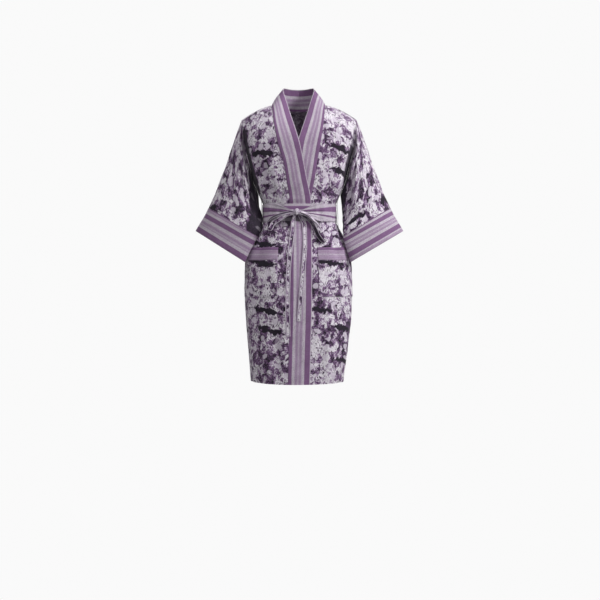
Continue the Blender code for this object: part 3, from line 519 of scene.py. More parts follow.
def ramp(tree, value, stops, interpolation="LINEAR"):
    """A colour for each stretch of a value, from a list of places and colours."""
    made = node(tree, "ValToRGB", {0: value})
    band = made.color_ramp
    band.interpolation = interpolation
    first, last = band.elements[0], band.elements[1]
    last.position, last.color = stops[-1]
    first.position, first.color = stops[0]
    for place, colour in stops[1:-1]:
        band.elements.new(place).color = colour
    return made.outputs["Color"]


def blend(tree, share, under, over, mode="MIX"):
    """Lays a share of one colour over another."""
    inputs = {"Factor": share, 6: under, 7: over}
    return node(tree, "Mix", inputs, data_type="RGBA", blend_type=mode).outputs[2]


# %% [markdown]
# ## Plain-woven cotton
#
# All the robe's cloth is a light plain weave. Close up it has threads under and over each
# other, some thicker than the rest, and it is never quite flat. `cotton` takes a colour and
# adds these: the threads as a product of two sines, slubs as noise stretched along them,
# and the small rumples of cloth that has been worn. Where a piece has the UV map "sewn",
# a row of stitches runs along the line where its second number is nought.

# %% The weave
THREAD = 0.0011
SEWING_THREAD, WRONG_SIDE = display(166, 138, 173), display(176, 158, 180)
INK = display(42, 36, 47)
PLUM = display(86, 62, 94)
PURPLE = display(134, 104, 142)
LILAC = display(188, 171, 194)
WHITE = display(229, 223, 231)


def topstitching(tree):
    """Where the sewing thread shows, dash by dash, and where the cloth dips beside it."""
    run, off = parts(tree, node(tree, "UVMap", {}, uv_map="sewn").outputs[0])[:2]
    off_line = maths(tree, "ABSOLUTE", off)
    in_dash = soft_step(tree, off_middle(tree, run, STITCH_PITCH), 0.38, 0.30)
    on_line = soft_step(tree, off_line, 0.0005, 0.0003)
    return maths(tree, "MULTIPLY", in_dash, on_line), soft_step(tree, off_line, 0.0030, 0.0)


def cotton(name, paint, wrong_side=0.0, rumple=0.35):
    """A cloth material. paint(tree, place) gives its colour; wrong_side fades it, and the shade attribute
    darkens it as painted shade.
    """
    material = bpy.data.materials.new(name)
    material.use_nodes = True
    tree = material.node_tree
    surface = tree.nodes["Principled BSDF"]
    place = node(tree, "TexCoord", {}).outputs["UV"]
    turns = [maths(tree, "MULTIPLY", part, math.tau / THREAD) for part in parts(tree, place)[:2]]
    weave = maths(tree, "MULTIPLY", *(maths(tree, "SINE", turn) for turn in turns))
    slub = maths(tree, "MULTIPLY", noise(tree, place, (900, 60), 2), noise(tree, place, (60, 900), 2))
    colour = paint(tree, place)
    shade = maths(tree, "MULTIPLY_ADD", slub, 0.9, 0.78)
    grey = node(tree, "CombineXYZ", {0: shade, 1: shade, 2: shade}).outputs[0]
    colour = blend(tree, 1.0, colour, grey, "MULTIPLY")
    if wrong_side:
        colour = blend(tree, wrong_side, colour, WRONG_SIDE)
    stitch, dip = topstitching(tree)
    colour = blend(tree, maths(tree, "MULTIPLY", stitch, 0.7), colour, SEWING_THREAD)
    # Painted shade: the shade attribute darkens the colour towards near black.
    hollow = node(tree, "Attribute", {}, attribute_name="shade").outputs["Fac"]
    colour = blend(tree, maths(tree, "MULTIPLY", hollow, 0.85), colour, INK)
    tree.links.new(colour, surface.inputs["Base Color"])
    surface.inputs["Roughness"].default_value = 0.86
    surface.inputs["Specular IOR Level"].default_value = 0.22
    surface.inputs["Sheen Weight"].default_value = 0.10
    surface.inputs["Sheen Roughness"].default_value = 0.45
    rumples = noise(tree, place, (55, 42), 4, 0.55, 0.4)
    sewn = maths(tree, "MULTIPLY_ADD", dip, -0.8, stitch)
    normal = {}
    reliefs = ((0.30, 0.00025, weave), (0.7, 0.0006, sewn), (rumple, 0.0022, rumples))
    for strength, distance, height in reliefs:
        inputs = {"Strength": strength, "Distance": distance, "Height": height, **normal}
        normal = {"Normal": node(tree, "Bump", inputs).outputs[0]}
    tree.links.new(normal["Normal"], surface.inputs["Normal"])
    return material


# %% [markdown]
# ## The print
#
# The cloth is printed all over in white, lilac, purple and near black. This robe gets a
# mottled print of its own, in those colours and at that scale: torn patches a centimetre or
# two wide, paler spots, thin dark strokes, and broad dark brush marks across the cloth every
# hand's breadth. Patches and strokes are noise with thresholds. Spots and marks lie in cells
# round scattered points, one to a cell and only in some of them. The marks are long and a
# little slanted, and a warp by other noise keeps every edge ragged.

# %% Mottled print
SLASH_SPACING, SLASH_HALF, SLASH_SLANT = (0.150, 0.096), (0.046, 0.0078), 0.17
CELLS_PER_METRE, SPOTS_PER_METRE = 80, 36
WARP_REACH = 0.020
RIBBON_WIDTH = 0.014
SPOT, RIBBON_EDGE = display(214, 204, 218), display(206, 194, 210)
PRINT_STEPS = [
    (0.780, INK), (0.800, PLUM), (0.856, PLUM), (0.876, PURPLE), (0.930, PURPLE), (0.945, LILAC),
    (0.983, LILAC), (1.0, WHITE),
]


def slashes(tree, warped, ragged):
    """One brush mark in each chosen cell: the distance to the cell's point, measured in
    half lengths along and across the mark, plus noise, is under one."""
    across, up = parts(tree, warped)[:2]
    slanted = maths(tree, "MULTIPLY_ADD", across, SLASH_SLANT, up)
    turned = node(tree, "CombineXYZ", {0: across, 1: slanted}).outputs[0]
    in_cells = vectors(tree, "MULTIPLY", turned, (1 / SLASH_SPACING[0], 1 / SLASH_SPACING[1], 1))
    found, chosen = scattered(tree, in_cells, 1.0, 2, 0.85)
    away = vectors(tree, "SUBTRACT", in_cells, found["Position"])
    in_halves = [spacing / half for spacing, half in zip(SLASH_SPACING, SLASH_HALF)]
    away = vectors(tree, "MULTIPLY", away, (*in_halves, 0))
    reach = node(tree, "VectorMath", {0: away}, operation="LENGTH").outputs["Value"]
    reach = maths(tree, "MULTIPLY_ADD", ragged, 2.6, maths(tree, "SUBTRACT", reach, 1.3))
    return maths(tree, "ADD", reach, maths(tree, "MULTIPLY", soft_step(tree, chosen, 0.52, 0.53), 9.0))


def mottled_paint(lighter=0.0, with_slashes=True):
    """paint for the print; lighter shifts its tones, as on the narrow ribbon."""

    def paint(tree, place):
        """Ground tone = patches + cells + specks + a broad drift, less painted shade, through a ramp
        of crisp steps; then dark strokes, pale spots and brush marks are laid over it."""
        warp_u = noise(tree, place, (45, 45), 3)
        warp_v = noise(tree, vectors(tree, "ADD", place, (7, 3, 0)), (45, 45), 3)
        warp = node(tree, "CombineXYZ", {0: warp_u, 1: warp_v}).outputs[0]
        warped = vectors(tree, "MULTIPLY_ADD", warp, (WARP_REACH, WARP_REACH, 0), place)
        patches = noise(tree, warped, (40, 30), 4, 0.55, 0.3)
        broad = noise(tree, place, (9, 7), 2)
        specks = noise(tree, place, (250, 170), 3, 0.6)
        cell_tone = scattered(tree, warped, CELLS_PER_METRE, 0)[1]
        tone = maths(tree, "MULTIPLY", patches, 0.86)
        for layer, weight in ((cell_tone, 0.26), (specks, 0.38), (broad, 0.42)):
            tone = maths(tree, "MULTIPLY_ADD", layer, weight, tone)
        # Painted shade: the shade attribute lowers the print's tone towards plum and near black.
        hollow = node(tree, "Attribute", {}, attribute_name="shade").outputs["Fac"]
        tone = maths(tree, "MULTIPLY_ADD", hollow, -0.30, maths(tree, "ADD", tone, lighter))
        colour = ramp(tree, tone, PRINT_STEPS)
        strokes = noise(tree, warped, (260, 130), 3, 0.70)
        clusters = soft_step(tree, noise(tree, place, (26, 26), 2), 0.40, 0.60)
        strokes = maths(tree, "MULTIPLY_ADD", clusters, 0.075, strokes)
        colour = blend(tree, soft_step(tree, strokes, 0.600, 0.625), colour, PURPLE)
        colour = blend(tree, soft_step(tree, strokes, 0.650, 0.670), colour, INK)
        found, chosen = scattered(tree, warped, SPOTS_PER_METRE, 1)
        round_spot = soft_step(tree, found["Distance"], 0.34, 0.29)
        spot = maths(tree, "MULTIPLY", round_spot, soft_step(tree, chosen, 0.66, 0.68))
        colour = blend(tree, maths(tree, "MULTIPLY", spot, 0.85), colour, SPOT)
        if with_slashes:
            mark = slashes(tree, warped, noise(tree, warped, (70, 110), 3, 0.6))
            colour = blend(tree, soft_step(tree, mark, 1.25, 1.10), colour, PLUM)
            colour = blend(tree, soft_step(tree, mark, 1.05, 0.95), colour, INK)
        return colour

    return paint


def ribbon_paint(tree, place):
    """The print, folded double: two pale folded edges and a thin dark line beside each."""
    colour = mottled_paint(0.02, False)(tree, place)
    from_middle = off_middle(tree, parts(tree, place)[0], RIBBON_WIDTH)
    colour = blend(tree, soft_step(tree, from_middle, 0.24, 0.30), colour, PLUM)
    return blend(tree, soft_step(tree, from_middle, 0.31, 0.36), colour, RIBBON_EDGE)


print_cloth = cotton("print_cloth", mottled_paint())
print_wrong_side = cotton("print_wrong_side", mottled_paint(), 0.45)
print_ribbon = cotton("print_ribbon", ribbon_paint, rumple=0.2)
print("print materials made")

# %% [markdown]
# ## The stripes
#
# The bands, cuffs and sash are woven in stripes, an ordinary pattern, and so they follow the
# real cloth: solid purple, pale edges, and a lilac middle with fine pin stripes. A stripe
# chart is a list of widths in millimetres from one edge. A ramp with hard steps draws it
# from the UV map's second number, which runs across each band.

# %% Stripe charts
DEEP = display(127, 94, 132)
PALE = display(200, 192, 202)
MID = display(174, 155, 178)
PIN = display(155, 131, 161)
pin_stripes = [(4, MID), (2, PIN), (4.5, MID), (1.5, PALE), (4.5, MID), (2, PIN), (4, MID)]
NECK_CHART = [(11, DEEP), (8.5, PALE), *pin_stripes, (8.5, PALE), (17, DEEP), (2.6, PALE)]
CUFF_CHARTS = {
    -1: [(3, DEEP), (9, MID), (8.5, PALE), (14, DEEP), (9, PALE), (4, MID), (2, PIN), (4, MID), (1.5, PALE),
         (4, MID), (8.5, PALE), (17.5, DEEP)],
    1: [(2.5, DEEP), (8, PALE), (13.5, DEEP), (8.5, PALE), *pin_stripes[1:-1], (9, PALE), (14, DEEP),
        (3.5, PALE), (10, MID)],
}
SASH_CHART = [(12, PALE), (7, DEEP), (13, PALE), (1.5, MID), (16, DEEP), (1.5, MID), (7, PALE)]
POCKET_CHART = [(8, MID), (1.5, PIN), (7.5, MID), (2, PALE), (6, MID), (1.5, PIN), (5, MID), (9, DEEP)]


def striped(name, chart, rumple):
    """The cloth of a chart, and its width: the running sum of the stripes' widths gives each
    one's start."""
    widths = np.array([width for width, _ in chart], float)
    starts = (np.cumsum(widths) - widths) / widths.sum()
    total = widths.sum() / MM

    def paint(tree, place):
        fray = maths(tree, "MULTIPLY_ADD", noise(tree, place, (500, 500), 1), 0.0006, -0.0003)
        across = maths(tree, "ADD", parts(tree, place)[1], fray)
        stops = [(float(start), colour) for start, (_, colour) in zip(starts, chart)]
        colour = ramp(tree, maths(tree, "DIVIDE", across, total), stops, "CONSTANT")
        threads = noise(tree, place, (22, 1400), 2, 0.7)
        colour = blend(tree, soft_step(tree, threads, 0.45, 0.75), colour, PALE, "SOFT_LIGHT")
        flecks = soft_step(tree, noise(tree, place, (280, 330), 3, 0.8), 0.48, 0.64)
        return blend(tree, maths(tree, "MULTIPLY", flecks, 0.50), colour, PURPLE)

    return cotton(name, paint, rumple=rumple), total


neck_cloth, neck_width = striped("neck_band_cloth", NECK_CHART, 0.22)
cuff_cloths = {side: striped(f"cuff_cloth_{side}", chart, 0.22) for side, chart in CUFF_CHARTS.items()}
sash_cloth, sash_width = striped("sash_cloth", SASH_CHART, 0.30)
pocket_cloth, pocket_band_width = striped("pocket_band_cloth", POCKET_CHART, 0.2)
print("band widths", [round(width * MM) for width in (neck_width, sash_width, pocket_band_width)], "mm")

# %% [markdown]
# ## The back
#
# One piece of cloth from the neck and the shoulder seams to the hem. Its rows follow the
# body's levels, closer together round the armhole, where the edge curves. Towards the top the
# levels are lowered in the middle, which cuts the neck. `cut_at` is the place on the print,
# in metres, that a piece is cut from, and so no two pieces show the same marks.

# %% Rows of the body, and the back
LOW_ROWS, ARMHOLE_ROWS = 150, 84
BACK_COLUMNS = (44, 30, 44)
low_levels = np.linspace(HEM, UNDERARM, LOW_ROWS, endpoint=False)
armhole_levels = UNDERARM * (1 + np.cos(math.pi * np.linspace(0, 1, ARMHOLE_ROWS))) / 2
LEVELS = np.concatenate([low_levels, armhole_levels])
CURVE_START = -0.11
HEM_DEPTH = 0.010
CLOSE_SEAM = 0.0001
TOP_THINNING = 0.2


def edge_shares(count, turned=0.012):
    """Shares from 0 to 1 with extra ones close to both ends, where an edge is rounded."""
    inside = np.linspace(turned, 1 - turned, count)
    return np.concatenate([[0, turned / 3], inside, [1 - turned / 3, 1]])


def rounded_edge(share, reach=0.012):
    """How much of a piece's thickness is left near its two edges: a quarter round."""
    near = np.clip(np.minimum(share, 1 - share) / reach, 0, 1)
    return 0.3 + 0.7 * np.sqrt(1 - (1 - near) ** 2)


def from_edges(share, width):
    """How far in from the nearer of two edges, in metres."""
    return np.minimum(share, 1 - share) * width


def neck_drop(round_the_back):
    """How far the back neck seam lies below the shoulder line, at an angle of its curve."""
    return (BACK_NECK_DEPTH * np.sin(round_the_back) ** (2 / BACK_NECK_POWER)) ** 2


def back_neck(key):
    """How far across and how far down the back neck seam is, by the band's key."""
    round_the_back = np.clip(key / BAND_END_KEY, 0, 1) * math.pi / 2
    across = NECK_HALF * np.cos(round_the_back) ** (2 / BACK_NECK_POWER)
    return np.maximum(across, 0.00005), neck_drop(round_the_back)


def make_back():
    """Columns from armhole to neck, across the neck, and out to the other armhole. The top
    edge is thinner, because the shoulder seams close there and the bands lap over it."""
    ends = [armhole_turn(LEVELS, -1), turn_at(-NECK_HALF, LEVELS, -1), turn_at(NECK_HALF, LEVELS, -1)]
    ends.append(-math.pi - ends[0])
    turns = [
        start[:, None] + (end - start)[:, None] * np.arange(count) / count
        for start, end, count in zip(ends[:-1], ends[1:], BACK_COLUMNS)
    ]
    turn = np.concatenate([*turns, ends[-1][:, None]], axis=1)
    level = np.broadcast_to(LEVELS[:, None], turn.shape)
    x = np.abs(body_point(turn, level)[..., 0])
    round_the_back = np.arccos(np.clip(x / NECK_HALF, 0, 1) ** (BACK_NECK_POWER / 2))
    lowered = CURVE_START + (level - CURVE_START) * (neck_drop(round_the_back) + CURVE_START) / CURVE_START
    level = np.where(level > CURVE_START, lowered, level)
    behind = np.array([0, CLOSE_SEAM / 2, 0])
    thick = CLOTH * rounded_edge(np.clip(-LEVELS / TOP_THINNING, 0, 0.5))[:, None]
    inner, outer = (on_body(turn, level, lift) + behind for lift in (0 * thick, thick))
    uv = cloth_lengths(outer, turn.shape[1] // 2)
    sewn = sewn_along(uv[..., 0], uv[..., 1] - HEM_DEPTH)
    cut_at = [0.31, 0.13]
    return shell("back_cloth", inner, outer, uv + cut_at, [print_cloth, print_wrong_side], sewn=sewn)


back = dress(make_back(), "back_panel")

# %% [markdown]
# ## The neck bands
#
# Each front is finished with one long striped band: it lies flat from the hem to the chest,
# then turns up and stands round the neck as a collar. The table follows its seam and its free
# edge; `key` is minus the square root of the seam's depth below the shoulder line, which
# spaces the rows evenly over the shoulder. The wearer's right band lies over the left, and
# at the back both lap over the neck edge.

# %% Where the bands run
OVERLAP_LIFT = BAND_CLOTH + LAYER_GAP
OVER = OVERLAP_LIFT * MM
BAND_ROWS = "key seam_x free_x free_y free_z wrapped lift"
BANDS = {
    -1: table(BAND_ROWS, [
        (-0.9306, -32.6, 35.4, -117, -866, 1, OVER), (-0.8718, -30, 38, -118, -760, 1, OVER),
        (-0.7746, -26.2, 41.5, -118, -600, 1, OVER), (-0.6928, -26, 41.5, -112, -480, 1, OVER),
        (-0.6066, -26, 40, -90, -368, 1, OVER), (-0.5586, -26.8, 39.3, -89, -311, 1, OVER),
        (-0.4906, -37, 24.5, -101, -229, 1, OVER), (-0.423, -47.8, 12.5, -105, -166, 1, OVER),
        (-0.3805, -59, 3.7, -103, -124, 1, OVER), (-0.3435, -65, -6.2, -96, -90.5, 0.6, OVER),
        (-0.3033, -70.8, -17, -84, -57.4, 0.2, 2), (-0.246, -76.2, -27.5, -64, -24, 0, 1.8),
        (-0.1746, -79.7, -35.9, -44, 5.5, 0, 1.8), (-0.0975, -81.8, -44, -23, 33, 0, 1.8),
        (0, -82.5, -47.5, 0, 50, 0, 1.8), (0.065, -76.7, -45.5, 21, 58, 0, 1.8),
        (0.13, -60.2, -36, 42, 59.5, 0, 1.8), (0.195, -34.4, -20, 55, 58.5, 0, 1.8),
        (0.26, -0.1, -0.1, 60, 58, 0, 1.8),
    ], "key wrapped"),
    1: table(BAND_ROWS, [
        (-0.9306, 31, -37, -117, -866, 1, 0), (-0.8718, 33, -34.5, -118, -760, 1, 0),
        (-0.7746, 35.2, -32.5, -118, -600, 1, 0), (-0.6928, 35.2, -32.5, -112, -480, 1, 0),
        (-0.6066, 36, -32, -90, -368, 1, 0), (-0.5586, 37.1, -32, -89, -311, 1, 0),
        (-0.4906, 49.4, -18, -101, -229, 1, 0), (-0.423, 59, -8, -105, -164, 1, 0),
        (-0.3805, 65.5, -2.5, -103, -124, 1, 0), (-0.3435, 69.3, 7.3, -96, -90.5, 0.6, 0.4),
        (-0.3033, 73.8, 18, -84, -57.4, 0.2, 1.2), (-0.246, 77.9, 28.5, -64, -24, 0, 1.8),
        (-0.1746, 80.3, 36.7, -44, 5.5, 0, 1.8), (-0.0975, 82, 44.5, -23, 33, 0, 1.8),
        (0, 82.5, 47.8, 0, 50, 0, 1.8), (0.065, 76.7, 45.5, 21, 58, 0, 1.8),
        (0.13, 60.2, 36, 42, 59.5, 0, 1.8), (0.195, 34.4, 20, 55, 58.5, 0, 1.8),
        (0.26, 0.1, 0.1, 60, 58, 0, 1.8),
    ], "key wrapped"),
}
COLLAR_BULGE = 0.004
BACK_LAP = 0.004
BAND_END_GAP = 0.00002
COLLAR_ROWS, BAND_COLUMNS = 48, 22
FIRST_KEY, LAST_KEY = -0.929, BAND_END_KEY - 0.004


def seam_x(side, level):
    """Where the front panel on this side meets its band, by level."""
    return read(BANDS[side], -np.sqrt(np.maximum(-level, 0)), ["seam_x"])[0]


def band_point(side, key, share):
    """The band's inner face, from its seam, share 0, to its free edge, share 1: a mix of cloth
    wrapped on the body and a straight chord that bulges outwards a little."""
    key, share = np.broadcast_arrays(np.asarray(key, float), np.asarray(share, float))
    at_seam, *free, wrapping, lift = read(BANDS[side], key)
    across, drop = back_neck(key)
    is_front = key < 0
    x = at_seam - side * SEAM_GAP
    below = -drop - BACK_LAP * ease(0, 0.03, key)
    level = np.where(is_front, np.minimum(-(key**2), SHOULDER_TOP), np.minimum(below, SHOULDER_TOP))
    turn = np.where(is_front, turn_at(x, level), turn_at(side * across, level, -1))
    seam = body_point(turn, level) + body_normal(turn, level) * lift[..., None]
    free = np.stack(free, axis=-1)
    chord = seam * (1 - share[..., None]) + free * share[..., None]
    away = chord * np.array([1.0, 1.0, 0.0])
    away = away / np.linalg.norm(away, axis=-1, keepdims=True)
    collar = chord + away * (COLLAR_BULGE * 4 * share * (1 - share))[..., None]
    flat_x = x + (free[..., 0] - x) * share
    flat_level = np.minimum(level + (free[..., 2] - level) * share, -0.03)
    wrapped = on_body(turn_at(flat_x, flat_level), flat_level, lift)
    weight = np.clip(wrapping, 0, 1)[..., None]
    return wrapped * weight + collar * (1 - weight)


def band_grids(side):
    """Points of a band's inner face, the way out from it, and their shares across."""
    keys = np.concatenate([-np.sqrt(-LEVELS[:-1]), np.linspace(0, BAND_END_KEY, COLLAR_ROWS)])[:, None]
    keys, shares = np.broadcast_arrays(keys, edge_shares(BAND_COLUMNS)[None, :])

    def surface(share, key):
        return band_point(side, key, np.clip(share, 0, 1))

    inner = surface(shares, keys)
    inside = np.clip(shares, 0.01, 0.99)
    before_end = np.clip(keys, FIRST_KEY, LAST_KEY)
    out = -side * normals(surface, inside, before_end, 0.005, 0.0015)
    return inner, out, shares


def make_band(name, side):
    """Inner face plus the way out times the thickness, which thins at both long edges. The
    last row ends at the centre back, where the two bands meet."""
    inner, out, shares = band_grids(side)
    outer = inner + out * (BAND_CLOTH * rounded_edge(shares))[..., None]
    inner[-1, :, 0] = outer[-1, :, 0] = side * BAND_END_GAP
    lengths = cloth_lengths(outer)[..., 1]
    uv = np.stack([lengths + 0.2 * side, shares * neck_width], axis=-1)
    sewn = sewn_along(lengths, from_edges(shares, neck_width))
    return shell(name, inner, outer, uv, [neck_cloth], sewn=sewn)


bands = {side: dress(make_band(f"neck_band_{word}_cloth", side), f"neck_band_{word}")
         for side, word in SIDES}

# %% [markdown]
# ## The fronts
#
# A front runs from the side seam and armhole to its band. The wearer's right front rises
# near the middle, to lie over the left band. The pattern coordinates are measured from the
# middle of the body, so that the print hangs straight although the neck edge slants.

# %% The two fronts
FRONT_COLUMNS = 62


def front_lift(side, x, level):
    """How far a front is lifted: the wearer's right one, near the middle and below the neck."""
    if side == 1:
        return np.zeros(np.broadcast(x, level).shape)
    return OVERLAP_LIFT * ease(0.100, 0.042, np.abs(x)) * ease(-0.02, -0.12, level)


def front_wall(side, level, shares, low, high):
    """Inner and outer grids on a front, from low to high above its inner face."""
    start = armhole_turn(level, 1)
    start = math.pi - start if side == 1 else start
    turn = start + (turn_at(seam_x(side, level), level) - start) * shares
    lift = front_lift(side, body_point(turn, level)[..., 0], level)
    forward = np.array([0, -CLOSE_SEAM / 2, 0])
    return on_body(turn, level, lift + low) + forward, on_body(turn, level, lift + high) + forward


def front_lengths(side, points):
    """Pattern coordinates with the middle of the body as their zero."""
    uv = cloth_lengths(points, -1)
    uv[..., 0] = points[:, -1:, 0] - side * uv[..., 0]
    return uv


def painted_shadow_under_bow(points):
    """Painted shadow below the knot and under the loops, and in a ragged strip under the sash."""
    x, z = points[..., 0] - KNOT_X, points[..., 2]
    below_knot = ease(-0.341, -0.347, z) * ease(-0.385, -0.372, z)
    below_knot = below_knot * ease(-0.044, -0.034, x) * ease(0.027, 0.017, x)
    below_sash = bell(z - SASH_BOTTOM + 0.008, 0.010) * ease(0.088, 0.070, np.abs(x + 0.004))
    return np.maximum(0.95 * below_knot, 0.75 * below_sash * (1 + 0.3 * np.sin(210 * x + 1.3)) / 1.3)


def make_front(name, side):
    """A front's shell. Its painted shade is the dark place beside the armhole, and below the underarm
    the painted shadow under the bow."""
    shares = np.linspace(0, 1, FRONT_COLUMNS)[None, :]
    inner, outer = front_wall(side, LEVELS[:, None], shares, 0, CLOTH)
    uv = front_lengths(side, outer)
    sewn = sewn_along(uv[..., 0], uv[..., 1] - HEM_DEPTH)
    near_armhole = LEVELS[:, None] > UNDERARM
    # Painted shade beside the armhole above the underarm, and painted shadow under the bow below it.
    shade = np.where(near_armhole, painted_hollow_shade(side, outer, True), painted_shadow_under_bow(outer))
    cut_at = [0.56 + 0.98 * side, 0.21 * side]
    return shell(name, inner, outer, uv + cut_at, [print_cloth, print_wrong_side], shade=shade, sewn=sewn)


fronts = {side: dress(make_front(f"front_{word}_cloth", side), f"front_panel_{word}")
          for side, word in SIDES}

# %% [markdown]
# ## The sleeves and cuffs
#
# A sleeve is a wide tube, set into the armhole and hanging to a slanted cuff. Its sections
# are drops: a fold on top, a fold below, and a belly between. Near the body it is drawn in
# along the armhole's seam, which makes the deep shadow there, darkened further by painted shade,
# and folds hang from the shoulder point and the underarm. The cuff is a second tube on the same form.

# %% The sleeve's form and folds
SLEEVE = table("share top_x top_z low_x low_z depth low_shift forward", [
    (0, 179, -44, 129, -280, 55, 3, 0), (0.14, 198.5, -94.5, 130.5, -315, 55, 6, 8),
    (0.36, 226.5, -176, 131.5, -356, 53, 9, 30), (0.595, 259.5, -263, 132, -388, 51, 9, 52),
    (0.785, 285, -322.5, 137.7, -412.5, 49, 4, 61), (1, 325, -395, 165.1, -493, 47, -2, 62),
], "share")
CUFF_SEAM, CUFF_SEAM_GAP = 0.785, 0.0025
TOP_SHIFT = 0.003
SLEEVE_LENGTH, SLEEVE_HALF_GIRTH = 0.39, 0.10
ON_SLEEVE = [SLEEVE_LENGTH, SLEEVE_HALF_GIRTH, SLEEVE_LENGTH, SLEEVE_HALF_GIRTH, 1 / MM, 1 / MM]
LOW_FOLD_SWING = {-1: 0.0085, 1: 0.0015}
MAIN_SLEEVE = np.array([
    (0.06, 1.2, 0.34, 1.75, 12, 5), (0.1, 1.9, 0.46, 2.2, 14, -6), (0.34, 0.9, 0.74, 1.5, 16, -4),
    (0.46, 1.9, 0.76, 1.3, 14, 3.5), (0.06, 4.9, 0.4, 4.3, 14, 5), (0.12, 4.3, 0.52, 4, 14, -5.5),
    (0.4, 5.3, 0.76, 4.7, 16, -4.5),
]) * ON_SLEEVE
SMALL_SLEEVE = np.array([
    (0.1, 0.75, 0.16, 1.9, 6, -5), (0.15, 0.8, 0.22, 1.9, 5.5, 2.6), (0.08, 2.6, 0.34, 2.3, 7.5, 3),
    (0.2, 2.75, 0.52, 2.5, 9, -4), (0.3, 1.3, 0.52, 1.05, 8, 2), (0.52, 2.1, 0.74, 2.3, 8, 2.2),
    (0.56, 1, 0.78, 1.2, 9, -2), (0.1, 5.45, 0.18, 4.4, 6.5, -4.2), (0.08, 3.7, 0.36, 4, 8, 3),
    (0.22, 3.55, 0.56, 3.75, 9, -3.8), (0.36, 5, 0.6, 5.2, 8, 2), (0.56, 4.2, 0.78, 4, 9, 2.2),
]) * ON_SLEEVE


def armhole_ring(side, turn):
    """The sleeve's first ring: the armhole's edge, moved out to clear the body's cloth."""
    down = (1 - np.cos(turn)) / 2
    level = UNDERARM * down
    face = np.where(np.sin(turn) >= 0, 1.0, -1.0)
    edge = armhole_turn(level, face)
    point = body_point(edge if side < 0 else face * math.pi - edge, level)
    shift = side * (CLOTH + SEAM_GAP + (CLOTH + 0.0002) * down**4)
    return point + shift[..., None] * [1, 0, 0]


def drop_section(side, turn, share):
    """Between the top fold and the low fold, with a sine for the belly on each face."""
    top_x, top_z, low_x, low_z, depth, low_shift, forward = read(SLEEVE, share)
    down = (1 - np.cos(turn)) / 2
    x = side * (top_x + (low_x - top_x) * down) + TOP_SHIFT * (1 - down) + low_shift * down
    y = -depth * np.sin(turn) * (0.8 + 0.2 * np.cos(turn)) - forward * down
    return np.stack([x, y, top_z + (low_z - top_z) * down], axis=-1)


def sleeve_point(side, turn, share):
    """The armhole ring eases into the drop sections over the first half of the sleeve."""
    turn, share = np.broadcast_arrays(np.asarray(turn, float), np.asarray(share, float))
    fade = np.clip(1 - share / 0.45, 0, 1) ** 2
    start = armhole_ring(side, turn) - drop_section(side, turn, np.zeros_like(share))
    return drop_section(side, turn, share) + start * fade[..., None]


def on_sleeve(side, turn, share, lift):
    """A point of the sleeve's cloth, with its folds, a lift out from the tube."""
    out = side * normals(lambda a, b: sleeve_point(side, a, b), turn, share, 1e-4, 1e-4)
    a, b = share * SLEEVE_LENGTH, turn * SLEEVE_HALF_GIRTH
    folds = fold_height(a, b, MAIN_SLEEVE, -0.2, 1.2)
    folds += 0.7 * fold_height(a, b, SMALL_SLEEVE, -0.1, 1.2, 0.8)
    folds += 0.0006 * np.sin(70 * a + 3 * turn) * ease(0.1, 0.3, share)
    points = sleeve_point(side, turn, share) + out * (folds * ease(0, 0.10, share) + lift)[..., None]
    low_fold = np.cos(turn / 2) ** 2 < 0.5
    inwards = bell(np.cos(turn / 2), 0.30) * low_fold * ease(0.14, 0.30, share) * ease(0.95, 0.70, share)
    points[..., 0] -= side * LOW_FOLD_SWING[side] * inwards
    level = UNDERARM * (1 - np.cos(turn)) / 2
    return drawn_in(points, a, level, SLEEVE_PULL[side], SLEEVE_PULL_REACH[side])


# %% Make the sleeves and their cuffs
SLEEVE_ROUND, CUFF_ROWS = 150, 26
DRAWN_SHARE, DRAWN_ROWS, HANGING_ROWS = 0.2, 40, 74


def sleeve_tube(side, shares, low, high):
    """Inner and outer grids round the sleeve, and a smooth one, closed, for its lengths."""
    turn = np.linspace(0, math.tau, SLEEVE_ROUND, endpoint=False)
    turn, share = np.broadcast_arrays(turn[None, :], shares[:, None])
    inner, outer = on_sleeve(side, turn, share, low), on_sleeve(side, turn, share, high)
    smooth = sleeve_point(side, turn, share)
    return inner, outer, np.concatenate([smooth, smooth[:, :1]], axis=1)


def make_sleeve(name, side):
    """A tube from the armhole to the cuff's seam, its rows closer together where it is drawn in."""
    drawn = np.linspace(0, DRAWN_SHARE, DRAWN_ROWS, endpoint=False)
    hanging = np.linspace(DRAWN_SHARE, CUFF_SEAM - CUFF_SEAM_GAP, HANGING_ROWS)
    inner, outer, closed = sleeve_tube(side, np.concatenate([drawn, hanging]), 0, CLOTH)
    cut_at = [1.7 + 0.6 * side, 0.37 + 0.21 * side]
    uv = cloth_lengths(closed) + cut_at
    # Painted shade beside the armhole, and even painted shade over the whole wearer's right sleeve.
    shade = painted_hollow_shade(side, outer, False)
    return shell(name, inner, outer, uv, [print_cloth, print_wrong_side], tube=True, shade=shade)


def make_cuff(name, side):
    """The last stretch of the sleeve's form, thicker, with its stripes running round."""
    cloth, width = cuff_cloths[side]
    share = edge_shares(CUFF_ROWS)
    inner, above, _ = sleeve_tube(side, CUFF_SEAM + (1 - CUFF_SEAM) * share, 0, 1)
    outer = inner + (above - inner) * (CUFF_CLOTH * rounded_edge(share))[:, None, None]
    closed = np.concatenate([outer, outer[:, :1]], axis=1)
    along_hem = cloth_lengths(closed)[..., 0]
    uv = np.stack(np.broadcast_arrays(along_hem, share[:, None] * width), axis=-1)
    # Painted shade: the wearer's right cuff is darkened evenly, as it lies in shade.
    shade = np.full(outer.shape[:2], RIGHT_SLEEVE_PAINTED_SHADE if side < 0 else 0.0)
    sewn = sewn_along(along_hem, from_edges(share, width)[:, None])
    return shell(name, inner, outer, uv, [cloth], tube=True, shade=shade, sewn=sewn)


